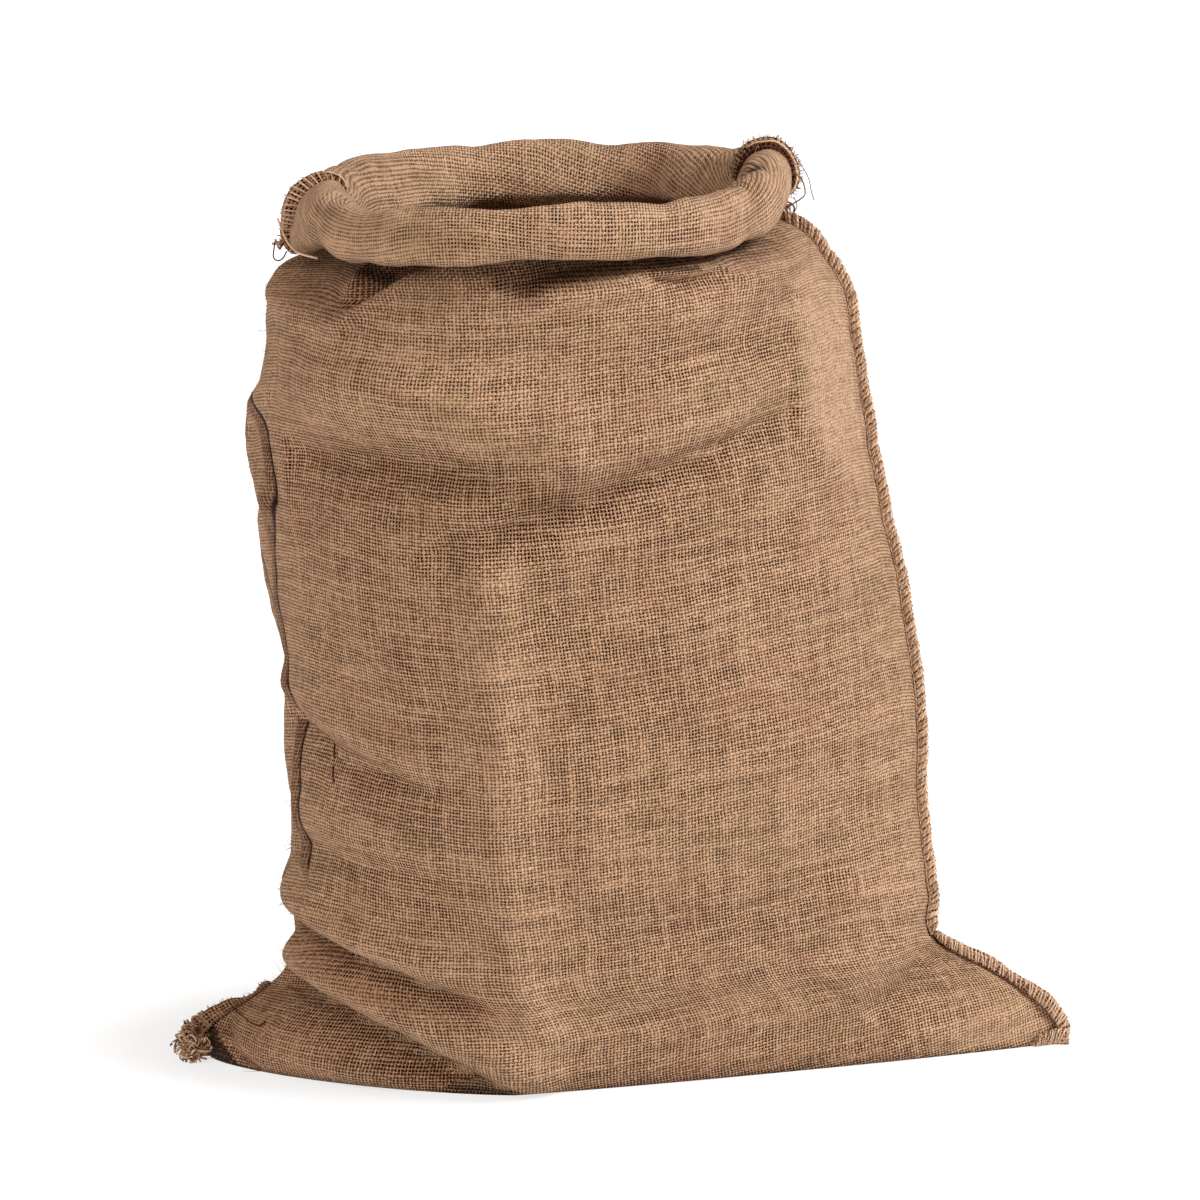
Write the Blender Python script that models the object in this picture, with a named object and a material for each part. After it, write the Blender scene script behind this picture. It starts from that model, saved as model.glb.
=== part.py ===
"""Hessian sack, standing open and filled out, with its mouth rolled down to a cuff.

The sack is one pillow-shaped tube of plain jute cloth.  Its foot is pressed flat on the
ground and ends in two pinched corners, the ears.  Its mouth is rolled outward.  The cloth
is one hollow shell, and each overcast seam allowance is a strip of its own.

The tables are in millimetres.  +Z is up, the front is -Y, and the origin lies on the
ground under the middle of the whole sack.
"""

import bmesh
import bpy
import numpy as np

# ---------------------------------------------------------------- driving dimensions, mm
MM = 0.001
CLOTH = 2.0                 # thickness of the cloth, with the fuzz of the jute
GAP = 0.35                  # clear gap between pieces that touch
GIRTH = 1200.0              # round the sack: twice its flat width
FRONT_COLUMNS = 34          # cells from the left side to the right side over the front
BACK_COLUMNS = 24           # and over the back
END_CROWDING = 0.40         # how much closer the columns stand at the two sides
SEAM_HEIGHT = 9.0           # how far a seam allowance stands out
SEAM_THICKNESS = 4.2        # its two layers and the twine over them
FLOOR_GAP = 0.2             # the lowest that an allowance comes
MIDDLE = (1.2, 0.7)         # middle of the whole sack in the frame of the tables
SHARP_EDGE = 50             # an angle in degrees; edges sharper than this stay hard

# Outline of an allowance across its run: how far to the side, in thicknesses, and how far
# up, in heights
STRIP_OUTLINE = ((-0.5, 0), (0.5, 0), (0.62, 0.5), (0.36, 1), (-0.36, 1), (-0.62, 0.5))

# Allowances of the side seams.  way_out: the direction they stand along X; low, high: the
# levels they run between; tip: how far they stand out at the ground, at an ear's tip.
SIDE_SEAM_COLUMNS = ("name", "way_out", "low", "high", "tip")
SIDE_SEAMS = (
    ("side_seam_right", 1, 74, 542, 9.0),
    ("ear_seam_right", 1, 0, 62, 9.0),
    ("ear_seam_left", -1, 0, 50, 21.0),
)
TIP_LEVELS = (20, 45)       # the tip's width ends between these levels
CUFF_SEAM_ROWS = (1, 9)     # rows of the cuff that carry an allowance
FOOT_SEAM_ROW = 1           # row and columns of the wall beside the end of the bottom seam
FOOT_SEAM_COLUMNS = (31, 34)

# Level sections of the body.  left/right: the two sides of the cloth; apex: where the
# front stands furthest forward; sharp: 1 is a straight-sided wedge, 2 an ellipse.
SECTION_COLUMNS = ("height", "left_x", "left_y", "apex_x", "front_y", "right_x", "right_y",
                   "back_x", "back_y", "sharp_left", "sharp_right", "sharp_back")
SECTIONS = (
    (0,   -276, -36, -69, -121, 292, -9,   0, 102, 1.45, 1.10, 1.35),
    (9,   -282, -37, -70, -126, 296, -9,   0, 112, 1.48, 1.12, 1.38),
    (24,  -273, -36, -72, -130, 288, -9,   0, 122, 1.50, 1.16, 1.42),
    (40,  -250, -34, -74, -134, 269, -8,   0, 130, 1.55, 1.24, 1.50),
    (56,  -230, -32, -76, -138, 241, -7,   0, 137, 1.62, 1.34, 1.60),
    (72,  -222, -28, -78, -142, 213, -5,   0, 143, 1.70, 1.50, 1.72),
    (105, -222, -20, -80, -149, 207, -3,   0, 150, 1.75, 1.62, 1.82),
    (160, -221, -12, -82, -158, 198, 0,    0, 158, 1.80, 1.70, 1.90),
    (240, -220, -5,  -82, -166, 194, 0,   -5, 165, 1.80, 1.75, 1.95),
    (330, -233, 0,   -76, -170, 180, 0,  -15, 168, 1.85, 1.80, 1.95),
    (410, -238, 0,   -64, -171, 163, 0,  -25, 169, 1.90, 1.85, 1.95),
    (480, -234, 0,   -56, -171, 150, 0,  -35, 169, 1.95, 1.90, 2.00),
    (518, -224, 0,   -52, -169, 136, 0,  -42, 167, 2.00, 1.95, 2.00),
    (538, -202, 0,   -52, -160, 110, 0,  -50, 158, 2.00, 2.00, 2.00),
    (550, -184, 0,   -52, -151, 80,  0,  -52, 150, 2.00, 2.00, 2.00),
)
NECK = 550                  # height of the last section, where the cuff starts
SHOULDER = 480              # above this the sections follow the uneven mouth

# The way round, and the height of the rim there: 0 is the left side, a quarter the front,
# a half the right side and three quarters the back.
RIM = (
    (0.00, 590), (0.06, 583), (0.12, 579), (0.20, 586), (0.30, 588), (0.38, 589),
    (0.44, 595), (0.50, 606), (0.56, 599), (0.64, 594), (0.75, 592), (0.88, 589),
)

# The rolled cuff in an upright plane: how far out from the neck, and how far up, and the
# same at its left end, which is spread out like a fan.
CUFF_COLUMNS = ("out", "up", "fan_out", "fan_up")
CUFF = (
    (0, 10, 0, 12),
    (1, 19, 0, 24),
    (4, 27, 1, 31),
    (10, 31, 5, 34),
    (17, 32, 13, 33),
    (24, 28, 22, 28),
    (28, 21, 30, 19),
    (29, 12, 34, 7),
    (27, 5, 34, -4),
    (22, 1, 28, -9),
    (15, 0, 19, -8),
    (9, 2, 12, -4),
    (7, 8, 9, 4),
    (10, 13, 11, 10),
    (14, 15, 15, 13),
)
CUFF_RISE = 33              # from the neck to the rim
FAN_REACH = 0.055           # how far round the fan reaches

# The way round, and how full the roll is there
SWELL = (
    (0.00, 1.00), (0.07, 0.92), (0.13, 0.98), (0.20, 1.03), (0.27, 0.96), (0.34, 1.03),
    (0.42, 1.02), (0.50, 0.97), (0.57, 1.05), (0.66, 0.96), (0.75, 1.06), (0.83, 0.96),
    (0.91, 1.04),
)

# Heights of the rows of the wall
WALL_ROWS = (0, 4, 11, 20, 30, 40, 50, 60, 70, 82, 96, 112, 130, 150, 172, 196, 222, 250,
             278, 304, 328, 350, 370, 388, 405, 422, 440, 458, 476, 492, 506, 519, 530,
             540, 550)
FLAT_FOOT = 22              # below this height the folds die away
NECK_FADE = 9               # and within this much of the neck
EAR_SHARE = 0.6             # a fold takes at most this share of a thin ear
SIDE_INSET = 1.7            # how much further the inner face stays from a wedge-shaped side
BOW_STEPS = 60              # points that a bow of a level section is worked out at
FOLD_STEPS = 13             # and that a fold is
LIP_ABOVE = 1.9             # how far above its fold a lip is, in widths of the fold
LIP_BREADTH = 1.3           # and how broad it is

# Folds of the cloth, each along three points given by the way round and the height.
# width: half the breadth of the groove; depth: how deep it is, negative for a ridge; lip:
# how far the cloth above it bulges.
FOLD_COLUMNS = ("start", "middle", "end", "width", "depth", "lip")
FOLDS = (
    # the two large folds across the front, and the blunt edge down its middle
    ((0.095, 421), (0.177, 424), (0.245, 409), 19, 9, 4),
    ((0.205, 372), (0.281, 407), (0.375, 444), 13, 10, 6),
    ((0.213, 376), (0.202, 210), (0.196, 20), 26, -5, 0),
    ((0.100, 484), (0.183, 466), (0.240, 435), 20, -3, 0),
    ((0.270, 470), (0.337, 489), (0.400, 496), 18, 3, 0),
    # the upright edge near the right side, with a flat beside it
    ((0.414, 505), (0.411, 474), (0.406, 430), 13, -4, 0),
    ((0.452, 515), (0.454, 470), (0.442, 420), 17, 3, 0),
    # creases low on the left, where the cloth sinks towards the ear
    ((0.040, 238), (0.096, 225), (0.155, 212), 13, 8, 4),
    ((0.045, 153), (0.101, 154), (0.150, 153), 13, 5, 3),
    ((0.015, 98), (0.096, 83), (0.165, 64), 13, 10, 5),
    ((0.020, 56), (0.108, 34), (0.180, 10), 15, 16, 5),
    # the slack end of the left ear, and the crease above the right ear
    ((0.006, 26), (0.020, 15), (0.036, 6), 8, 7, 0),
    ((0.410, 40), (0.446, 53), (0.487, 64), 12, 7, 3),
    # the pinched ridge down the left side and the crease beside it
    ((0.050, 445), (0.060, 415), (0.074, 393), 6, 6, 0),
    ((0.074, 393), (0.040, 335), (0.019, 262), 6, 6, 0),
    ((0.066, 245), (0.048, 222), (0.044, 200), 6, 5, 0),
    ((0.014, 428), (0.020, 408), (0.036, 386), 9, -6, 0),
    ((0.038, 385), (0.004, 330), (-0.010, 262), 9, -5, 0),
    ((0.026, 245), (0.012, 222), (0.010, 200), 9, -4, 0),
    # hollows under the cuff, and the swells between them
    ((0.020, 537), (0.050, 533), (0.074, 535), 13, 12, 0),
    ((0.086, 531), (0.118, 533), (0.145, 544), 13, 13, 0),
    ((0.236, 545), (0.266, 541), (0.300, 549), 12, 14, 0),
    ((0.328, 541), (0.385, 546), (0.462, 556), 12, 14, 0),
    ((0.050, 510), (0.115, 507), (0.155, 528), 14, -7, 0),
    ((0.152, 533), (0.188, 538), (0.226, 531), 12, -6, 0),
    ((0.236, 517), (0.266, 517), (0.312, 534), 13, -5, 0),
    ((0.325, 524), (0.370, 524), (0.410, 535), 12, -5, 0),
    # the back
    ((0.560, 432), (0.660, 405), (0.760, 418), 18, 8, 5),
    ((0.700, 328), (0.800, 300), (0.900, 322), 16, 8, 5),
    ((0.550, 250), (0.630, 228), (0.700, 236), 14, 6, 4),
    ((0.780, 182), (0.870, 152), (0.960, 168), 14, 8, 4),
    ((0.540, 110), (0.620, 84), (0.700, 66), 12, 9, 5),
    ((0.840, 58), (0.920, 72), (0.980, 92), 12, 9, 4),
    ((0.740, 380), (0.745, 220), (0.750, 30), 28, -5, 0),
    ((0.560, 545), (0.620, 537), (0.660, 544), 13, 13, 0),
    ((0.720, 538), (0.760, 531), (0.800, 538), 13, 14, 0),
    ((0.860, 533), (0.905, 531), (0.940, 540), 13, 12, 0),
    ((0.640, 515), (0.700, 512), (0.740, 518), 14, -5, 0),
    ((0.800, 515), (0.850, 512), (0.890, 516), 14, -5, 0),
)


def table_at(rows, where):
    """The columns of a table after its first one, read smoothly at the values in where."""
    rows = np.asarray(rows, dtype=float)
    knots, values = rows[:, 0], rows[:, 1:]
    slopes = np.gradient(values, knots, axis=0)
    where = np.clip(np.asarray(where, dtype=float), knots[0], knots[-1])
    cell = np.clip(np.searchsorted(knots, where, side="right") - 1, 0, len(knots) - 2)
    span = (knots[cell + 1] - knots[cell])[..., None]
    t = (where - knots[cell])[..., None] / span
    start = (2 * t**3 - 3 * t**2 + 1) * values[cell] + (t**3 - 2 * t**2 + t) * span * slopes[cell]
    stop = (3 * t**2 - 2 * t**3) * values[cell + 1] + (t**3 - t**2) * span * slopes[cell + 1]
    return start + stop


def ring_table_at(rows, way):
    """The same for a table that closes on itself after one way round."""
    rows = np.asarray(rows, dtype=float)
    turn = np.zeros(rows.shape[1])
    turn[0] = 1.0
    return table_at(np.vstack([rows[-3:] - turn, rows, rows[:3] + turn]), np.mod(way, 1.0))


def smoothstep(low, high, value):
    t = np.clip((value - low) / (high - low), 0.0, 1.0)
    return t * t * (3 - 2 * t)


def crowded(count):
    """Places from 0 to 1 that stand closer together at both ends."""
    t = np.linspace(0.0, 1.0, count + 1)
    return t - END_CROWDING * np.sin(2 * np.pi * t) / (2 * np.pi)


def ways_round():
    """The way round of each column: first the front, then the back."""
    front = 0.5 * crowded(FRONT_COLUMNS)
    back = 0.5 + 0.5 * crowded(BACK_COLUMNS)
    return np.concatenate([front[:-1], back[:-1]])


def level_section(height, ways, inset):
    """Points of the level section at a height, spaced by the way round."""
    row = dict(zip(SECTION_COLUMNS[1:], table_at(SECTIONS, height)))
    left = row["left_x"] + inset * (1 + SIDE_INSET * (2 - row["sharp_left"]))
    right = row["right_x"] - inset * (1 + SIDE_INSET * (2 - row["sharp_right"]))
    turn = np.linspace(0.0, np.pi / 2, BOW_STEPS)

    def side_y(x):
        share = (x - row["left_x"]) / (row["right_x"] - row["left_x"])
        return row["left_y"] + share * (row["right_y"] - row["left_y"])

    def bow(apex_x, apex_y, sharp_left, sharp_right):
        reach = apex_y - side_y(apex_x)
        x_left = apex_x - (apex_x - left) * np.cos(turn) ** (2 / sharp_left)
        x_right = apex_x + (right - apex_x) * np.cos(turn[::-1]) ** (2 / sharp_right)
        x = np.concatenate([x_left, x_right[1:]])
        rise = np.concatenate([np.sin(turn) ** (2 / sharp_left),
                               np.sin(turn[::-1][1:]) ** (2 / sharp_right)])
        return np.stack([x, side_y(x) + reach * rise], axis=1)

    def spaced(line, places):
        steps = np.linalg.norm(np.diff(line, axis=0), axis=1)
        length = np.concatenate([[0.0], np.cumsum(steps)])
        places = places * length[-1]
        return np.stack([np.interp(places, length, line[:, k]) for k in (0, 1)], axis=1)

    front = bow(row["apex_x"], row["front_y"] + inset, row["sharp_left"], row["sharp_right"])
    back = bow(row["back_x"], row["back_y"] - inset, row["sharp_back"], row["sharp_back"])
    over_front = ways < 0.5
    points = np.empty((len(ways), 2))
    points[over_front] = spaced(front, ways[over_front] * 2)
    points[~over_front] = spaced(back[::-1], ways[~over_front] * 2 - 1)
    return points


def outward(section):
    """The level direction that points out of a closed section, at each of its points."""
    along = np.roll(section, -1, axis=-2) - np.roll(section, 1, axis=-2)
    normal = np.stack([along[..., 1], -along[..., 0]], axis=-1)
    return normal / np.linalg.norm(normal, axis=-1, keepdims=True)


def fold_depth(way, height):
    """How far inward the folds take the cloth, at each way round and height."""
    total = np.zeros(np.broadcast(way, height).shape)
    for fold in FOLDS:
        row = dict(zip(FOLD_COLUMNS, fold))
        t = np.linspace(0.0, 1.0, FOLD_STEPS)[:, None]
        start, middle, end = (np.array(row[name]) * (GIRTH, 1) for name in FOLD_COLUMNS[:3])
        control = 2 * middle - (start + end) / 2
        line = (1 - t) ** 2 * start + 2 * t * (1 - t) * control + t**2 * end
        nearest = np.full(total.shape, np.inf)
        above = np.zeros(total.shape)
        for a, b in zip(line[:-1], line[1:]):
            step = b - a
            offset_s = (way * GIRTH - a[0] + GIRTH / 2) % GIRTH - GIRTH / 2
            offset_z = height - a[1]
            share = np.clip((offset_s * step[0] + offset_z * step[1]) / (step @ step), 0, 1)
            off_s, off_z = offset_s - share * step[0], offset_z - share * step[1]
            distance = np.hypot(off_s, off_z)
            closer = distance < nearest
            side = np.sign(step[0]) * (step[0] * off_z - step[1] * off_s)
            above = np.where(closer, distance * np.sign(side), above)
            nearest = np.where(closer, distance, nearest)
        width = row["width"]
        total += row["depth"] * np.exp(-(nearest / width) ** 2)
        from_lip = (above - LIP_ABOVE * width) / (LIP_BREADTH * width)
        total -= row["lip"] * np.exp(-from_lip ** 2)
    return total


def cloth_faces():
    """Grids of points, rows by columns, of the outer and the inner face of the cloth."""
    ways = ways_round()
    neck_height = ring_table_at(RIM, ways)[:, 0] - CUFF_RISE
    faces = []
    for inset in (0.0, CLOTH):
        rows = []
        for height in WALL_ROWS:
            section = level_section(height, ways, inset)
            above = max(0.0, height - SHOULDER) / (NECK - SHOULDER)
            level = height if above == 0 else SHOULDER + above * (neck_height - SHOULDER)
            rows.append(np.column_stack([section, np.broadcast_to(level, len(ways))]))
        faces.append(np.array(rows))
    outer, inner = faces
    # The folds push both faces the same way, never past the middle of a thin ear
    height = outer[..., 2]
    depth = fold_depth(ways[None, :], height)
    depth *= smoothstep(0, FLAT_FOOT, height) * (1 - smoothstep(-NECK_FADE, 0, height - neck_height))
    direction = outward(outer[..., :2])
    half_depth = np.abs(outer[..., 1] - np.mean(outer[..., :1, 1], axis=1, keepdims=True))
    depth = np.minimum(depth, EAR_SHARE * half_depth + CLOTH)
    for face in (outer, inner):
        face[..., :2] -= direction * depth[..., None]
    inner[..., 2] = np.maximum(inner[..., 2], CLOTH)
    # The cuff goes on from the neck in upright planes
    neck = outer[-1]
    direction = outward(neck[:, :2])
    roll = dict(zip(CUFF_COLUMNS, np.array(CUFF, dtype=float).T[..., None]))
    fan = np.exp(-(np.minimum(ways, 1 - ways) / FAN_REACH) ** 2)
    out = roll["out"] + fan * (roll["fan_out"] - roll["out"])
    up = roll["up"] + fan * (roll["fan_up"] - roll["up"])
    swell = ring_table_at(SWELL, ways)[:, 0]
    out, up = out * swell, CUFF_RISE + (up - CUFF_RISE) * swell
    slope_out = np.gradient(np.vstack([0 * out[:1], out]), axis=0)[1:]
    slope_up = np.gradient(np.vstack([0 * up[:1], up]), axis=0)[1:]
    length = np.hypot(slope_out, slope_up)

    def cuff_rows(across):
        o, u = out - across * slope_up / length, up + across * slope_out / length
        level = neck[:, :2] + direction * o[..., None]
        return np.concatenate([level, (neck[:, 2] + u)[..., None]], axis=-1)

    outer = np.concatenate([outer, cuff_rows(0.0)])
    inner = np.concatenate([inner, cuff_rows(CLOTH)])
    return outer, inner


def material(name, colour, roughness):
    made = bpy.data.materials.new(name)
    made.use_nodes = True
    shader = made.node_tree.nodes["Principled BSDF"]
    shader.inputs["Base Color"].default_value = (*colour, 1.0)
    shader.inputs["Roughness"].default_value = roughness
    shader.inputs["Metallic"].default_value = 0.0
    return made


def solid(name, points, faces, finish):
    """One object with a closed mesh, from points in millimetres in the tables' frame."""
    mesh = bpy.data.meshes.new(name)
    placed = (np.asarray(points) - (*MIDDLE, 0.0)) * MM
    mesh.from_pydata(placed.tolist(), [], faces)
    mesh.materials.append(finish)
    mesh.validate()
    made = bpy.data.objects.new(name, mesh)
    bpy.context.scene.collection.objects.link(made)
    shape = bmesh.new()
    shape.from_mesh(mesh)
    bmesh.ops.recalc_face_normals(shape, faces=shape.faces)
    shape.to_mesh(mesh)
    shape.free()
    mesh.shade_smooth()
    mesh.set_sharp_from_angle(angle=np.radians(SHARP_EDGE))


def sack_cloth(outer, inner, finish):
    """The hollow shell: outer and inner face, a flat foot in each, and the cuff's edge."""
    rows, columns = outer.shape[:2]
    points = np.concatenate([outer.reshape(-1, 3), inner.reshape(-1, 3)])
    first_inner = rows * columns
    faces = []
    for row in range(rows - 1):
        for column in range(columns):
            beside = (column + 1) % columns
            a, b = row * columns + column, row * columns + beside
            c, d = b + columns, a + columns
            faces.append((a, b, c, d))
            faces.append(tuple(first_inner + k for k in (d, c, b, a)))
    faces.append(tuple(range(columns))[::-1])
    faces.append(tuple(first_inner + k for k in range(columns)))
    edge = (rows - 1) * columns
    for column in range(columns):
        a, b = edge + column, edge + (column + 1) % columns
        faces.append((a, b, first_inner + b, first_inner + a))
    solid("sack_cloth", points, faces, finish)


def strip(name, base, rise, heights, finish):
    """A seam allowance on the line base, standing out along the unit vectors rise."""
    along = np.gradient(base, axis=0)
    across = np.cross(along, rise)
    across /= np.linalg.norm(across, axis=1, keepdims=True)
    lines = [base + across * SEAM_THICKNESS * side + rise * heights[:, None] * up
             for side, up in STRIP_OUTLINE]
    corners = len(STRIP_OUTLINE)
    last = (len(base) - 1) * corners
    points = np.stack(lines, axis=1).reshape(-1, 3)
    points[:, 2] = np.maximum(points[:, 2], FLOOR_GAP)
    faces = [tuple(range(corners)), tuple(range(last, last + corners))[::-1]]
    for ring in range(0, last, corners):
        for corner in range(corners):
            a, b = ring + corner, ring + (corner + 1) % corners
            faces.append((a, a + corners, b + corners, b))
    solid(name, points, faces, finish)


def upright_rise(line, way_out):
    """Unit vectors square to a line in an upright plane, away from the sack, never down."""
    along = np.gradient(line, axis=0)
    rise = np.stack([along[:, 2], 0 * along[:, 0], -along[:, 0]], axis=1) * way_out
    rise[:, 2] = np.where(line[:, 2] < FLAT_FOOT, np.maximum(rise[:, 2], 0.0), rise[:, 2])
    return rise / np.linalg.norm(rise, axis=1, keepdims=True)


def main():
    for old in list(bpy.data.objects):
        bpy.data.objects.remove(old, do_unlink=True)
    jute = material("jute_cloth", (0.37, 0.21, 0.12), 0.95)
    twine = material("jute_twine", (0.33, 0.20, 0.11), 0.95)
    outer, inner = cloth_faces()
    sack_cloth(outer, inner, jute)
    # the allowances of the side seams, outside the wall
    heights = np.array(WALL_ROWS)
    for values in SIDE_SEAMS:
        seam = dict(zip(SIDE_SEAM_COLUMNS, values))
        chosen = np.nonzero((heights >= seam["low"]) & (heights <= seam["high"]))[0]
        line = outer[chosen, FRONT_COLUMNS if seam["way_out"] > 0 else 0]
        rise = upright_rise(line, seam["way_out"])
        tip = 1 - smoothstep(*TIP_LEVELS, line[:, 2])
        stand = SEAM_HEIGHT + (seam["tip"] - SEAM_HEIGHT) * tip
        strip(seam["name"], line + rise * GAP, rise, stand, twine)
    # the same allowances where the rolled cuff turns them up
    rows = slice(*(len(WALL_ROWS) + row for row in CUFF_SEAM_ROWS))
    for name, column, way_out in (("cuff_seam_right", FRONT_COLUMNS, 1), ("cuff_seam_left", 0, -1)):
        line = inner[rows, column]
        rise = -upright_rise(line, way_out)
        strip(name, line + rise * GAP, rise, np.full(len(line), SEAM_HEIGHT), twine)
    # the end of the bottom seam, which comes round the right ear and lies on the ground
    chosen = slice(*FOOT_SEAM_COLUMNS)
    line = outer[FOOT_SEAM_ROW, chosen].copy()
    broadest = max(side for side, up in STRIP_OUTLINE)
    away = outward(outer[FOOT_SEAM_ROW, :, :2])[chosen]
    line[:, :2] += away * (GAP + broadest * SEAM_THICKNESS)
    line[:, 2] = FLOOR_GAP
    rise = np.tile([0.0, 0.0, 1.0], (len(line), 1))
    strip("foot_seam_right", line, rise, np.full(len(line), SEAM_HEIGHT), twine)


main()
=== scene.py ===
# %% [markdown]
# # A hessian sack with a rolled mouth
#
# The sack is plain jute cloth: two panels sewn together at both sides and along the bottom,
# with the mouth rolled outward twice or so to a soft cuff.  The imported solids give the
# shape that it keeps.  This script dresses them: a finer cloth with its creases, the weave,
# the overcast seams with their twine, and the hairs and loose ends that jute sheds.
#
# Everything is in metres inside Blender.  The tables below are in millimetres, because a
# sewer thinks in them, and one function turns them into metres.

import bmesh
import bpy
import numpy as np
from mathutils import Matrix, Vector, noise


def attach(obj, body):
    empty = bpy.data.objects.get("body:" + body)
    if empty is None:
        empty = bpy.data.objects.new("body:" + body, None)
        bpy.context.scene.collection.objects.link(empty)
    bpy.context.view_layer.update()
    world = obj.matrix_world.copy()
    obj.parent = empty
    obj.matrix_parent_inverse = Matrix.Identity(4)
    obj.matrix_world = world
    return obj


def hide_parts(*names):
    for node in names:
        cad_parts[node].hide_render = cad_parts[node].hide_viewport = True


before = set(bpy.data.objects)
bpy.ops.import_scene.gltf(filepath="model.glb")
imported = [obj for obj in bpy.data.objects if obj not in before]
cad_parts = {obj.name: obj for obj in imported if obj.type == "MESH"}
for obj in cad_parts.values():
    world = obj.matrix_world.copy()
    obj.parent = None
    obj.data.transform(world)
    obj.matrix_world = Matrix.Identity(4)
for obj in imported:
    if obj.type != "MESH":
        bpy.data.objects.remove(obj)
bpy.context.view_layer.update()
MM = 0.001
print("nodes:", ", ".join(sorted(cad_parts)))

# %% [markdown]
# ## Camera and studio
#
# A long lens three metres away keeps the sides of the sack upright.  The light is a big soft
# source from the upper right, as from a window with a blind, and a white room fills the
# shadows.  A sun lamp with a wide angle was chosen over area lamps because it lights the
# floor evenly however far it runs.

# %% Camera
EYE_DISTANCE = 3.0
EYE_ELEVATION = np.radians(12.0)
EYE_TARGET = Vector((-0.0152, -0.0007, 0.305))
LENS_MM = 135.3
SENSOR_MM = 36.0

lens = bpy.data.cameras.new("eye")
lens.lens = LENS_MM
lens.sensor_width = SENSOR_MM
eye = bpy.data.objects.new("eye", lens)
eye_way = Vector((0.0, -np.cos(EYE_ELEVATION), np.sin(EYE_ELEVATION)))
eye.location = EYE_TARGET + EYE_DISTANCE * eye_way
eye.rotation_euler = (-eye_way).to_track_quat("-Z", "Y").to_euler()
bpy.context.scene.collection.objects.link(eye)
bpy.context.scene.camera = eye
print("camera at", tuple(round(x, 3) for x in eye.location))

# %% Lamps and room light
LAMPS = (
    # name, degrees to the right of the camera, elevation, strength, degrees across, colour
    ("window", 77, 38, 3.25, 26, (0.97, 1.03, 1.08)),
    ("front box", -38, 43, 0.92, 40, (1.06, 0.985, 0.96)),
)
LAMP_DISTANCE = 3.0  # metres; any would do, because a sun lamp only has a direction
ROOM_LIGHT = 0.30
ROOM_TINT = (1.0, 0.92, 0.84, 1.0)


def sun(name, azimuth, elevation, strength, angle, tint):
    """A soft lamp that shines from azimuth degrees to the right of the camera."""
    lamp = bpy.data.lights.new(name, "SUN")
    lamp.energy = strength
    lamp.color = tint
    lamp.angle = np.radians(angle)
    placed = bpy.data.objects.new(name, lamp)
    a, e = np.radians(azimuth), np.radians(elevation)
    way = Vector((np.sin(a) * np.cos(e), -np.cos(a) * np.cos(e), np.sin(e)))
    placed.location = LAMP_DISTANCE * way
    placed.rotation_euler = (-way).to_track_quat("-Z", "Y").to_euler()
    bpy.context.scene.collection.objects.link(placed)


for lamp_values in LAMPS:
    sun(*lamp_values)

room = bpy.data.worlds.new("room")
room.use_nodes = True
room_sockets = room.node_tree.nodes["Background"].inputs
room_sockets["Color"].default_value = ROOM_TINT
room_sockets["Strength"].default_value = ROOM_LIGHT
bpy.context.scene.world = room
bpy.context.scene.view_settings.view_transform = "Standard"
print(len(LAMPS), "lamps")

# %% [markdown]
# ## Shader maths in Python
#
# A weave is a formula, so it is easier to read as `1 - gap` than as boxes and links.  The
# class below stands for one output socket of a node.  Its operators add Math nodes, and its
# method `node` adds any other kind.

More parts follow.
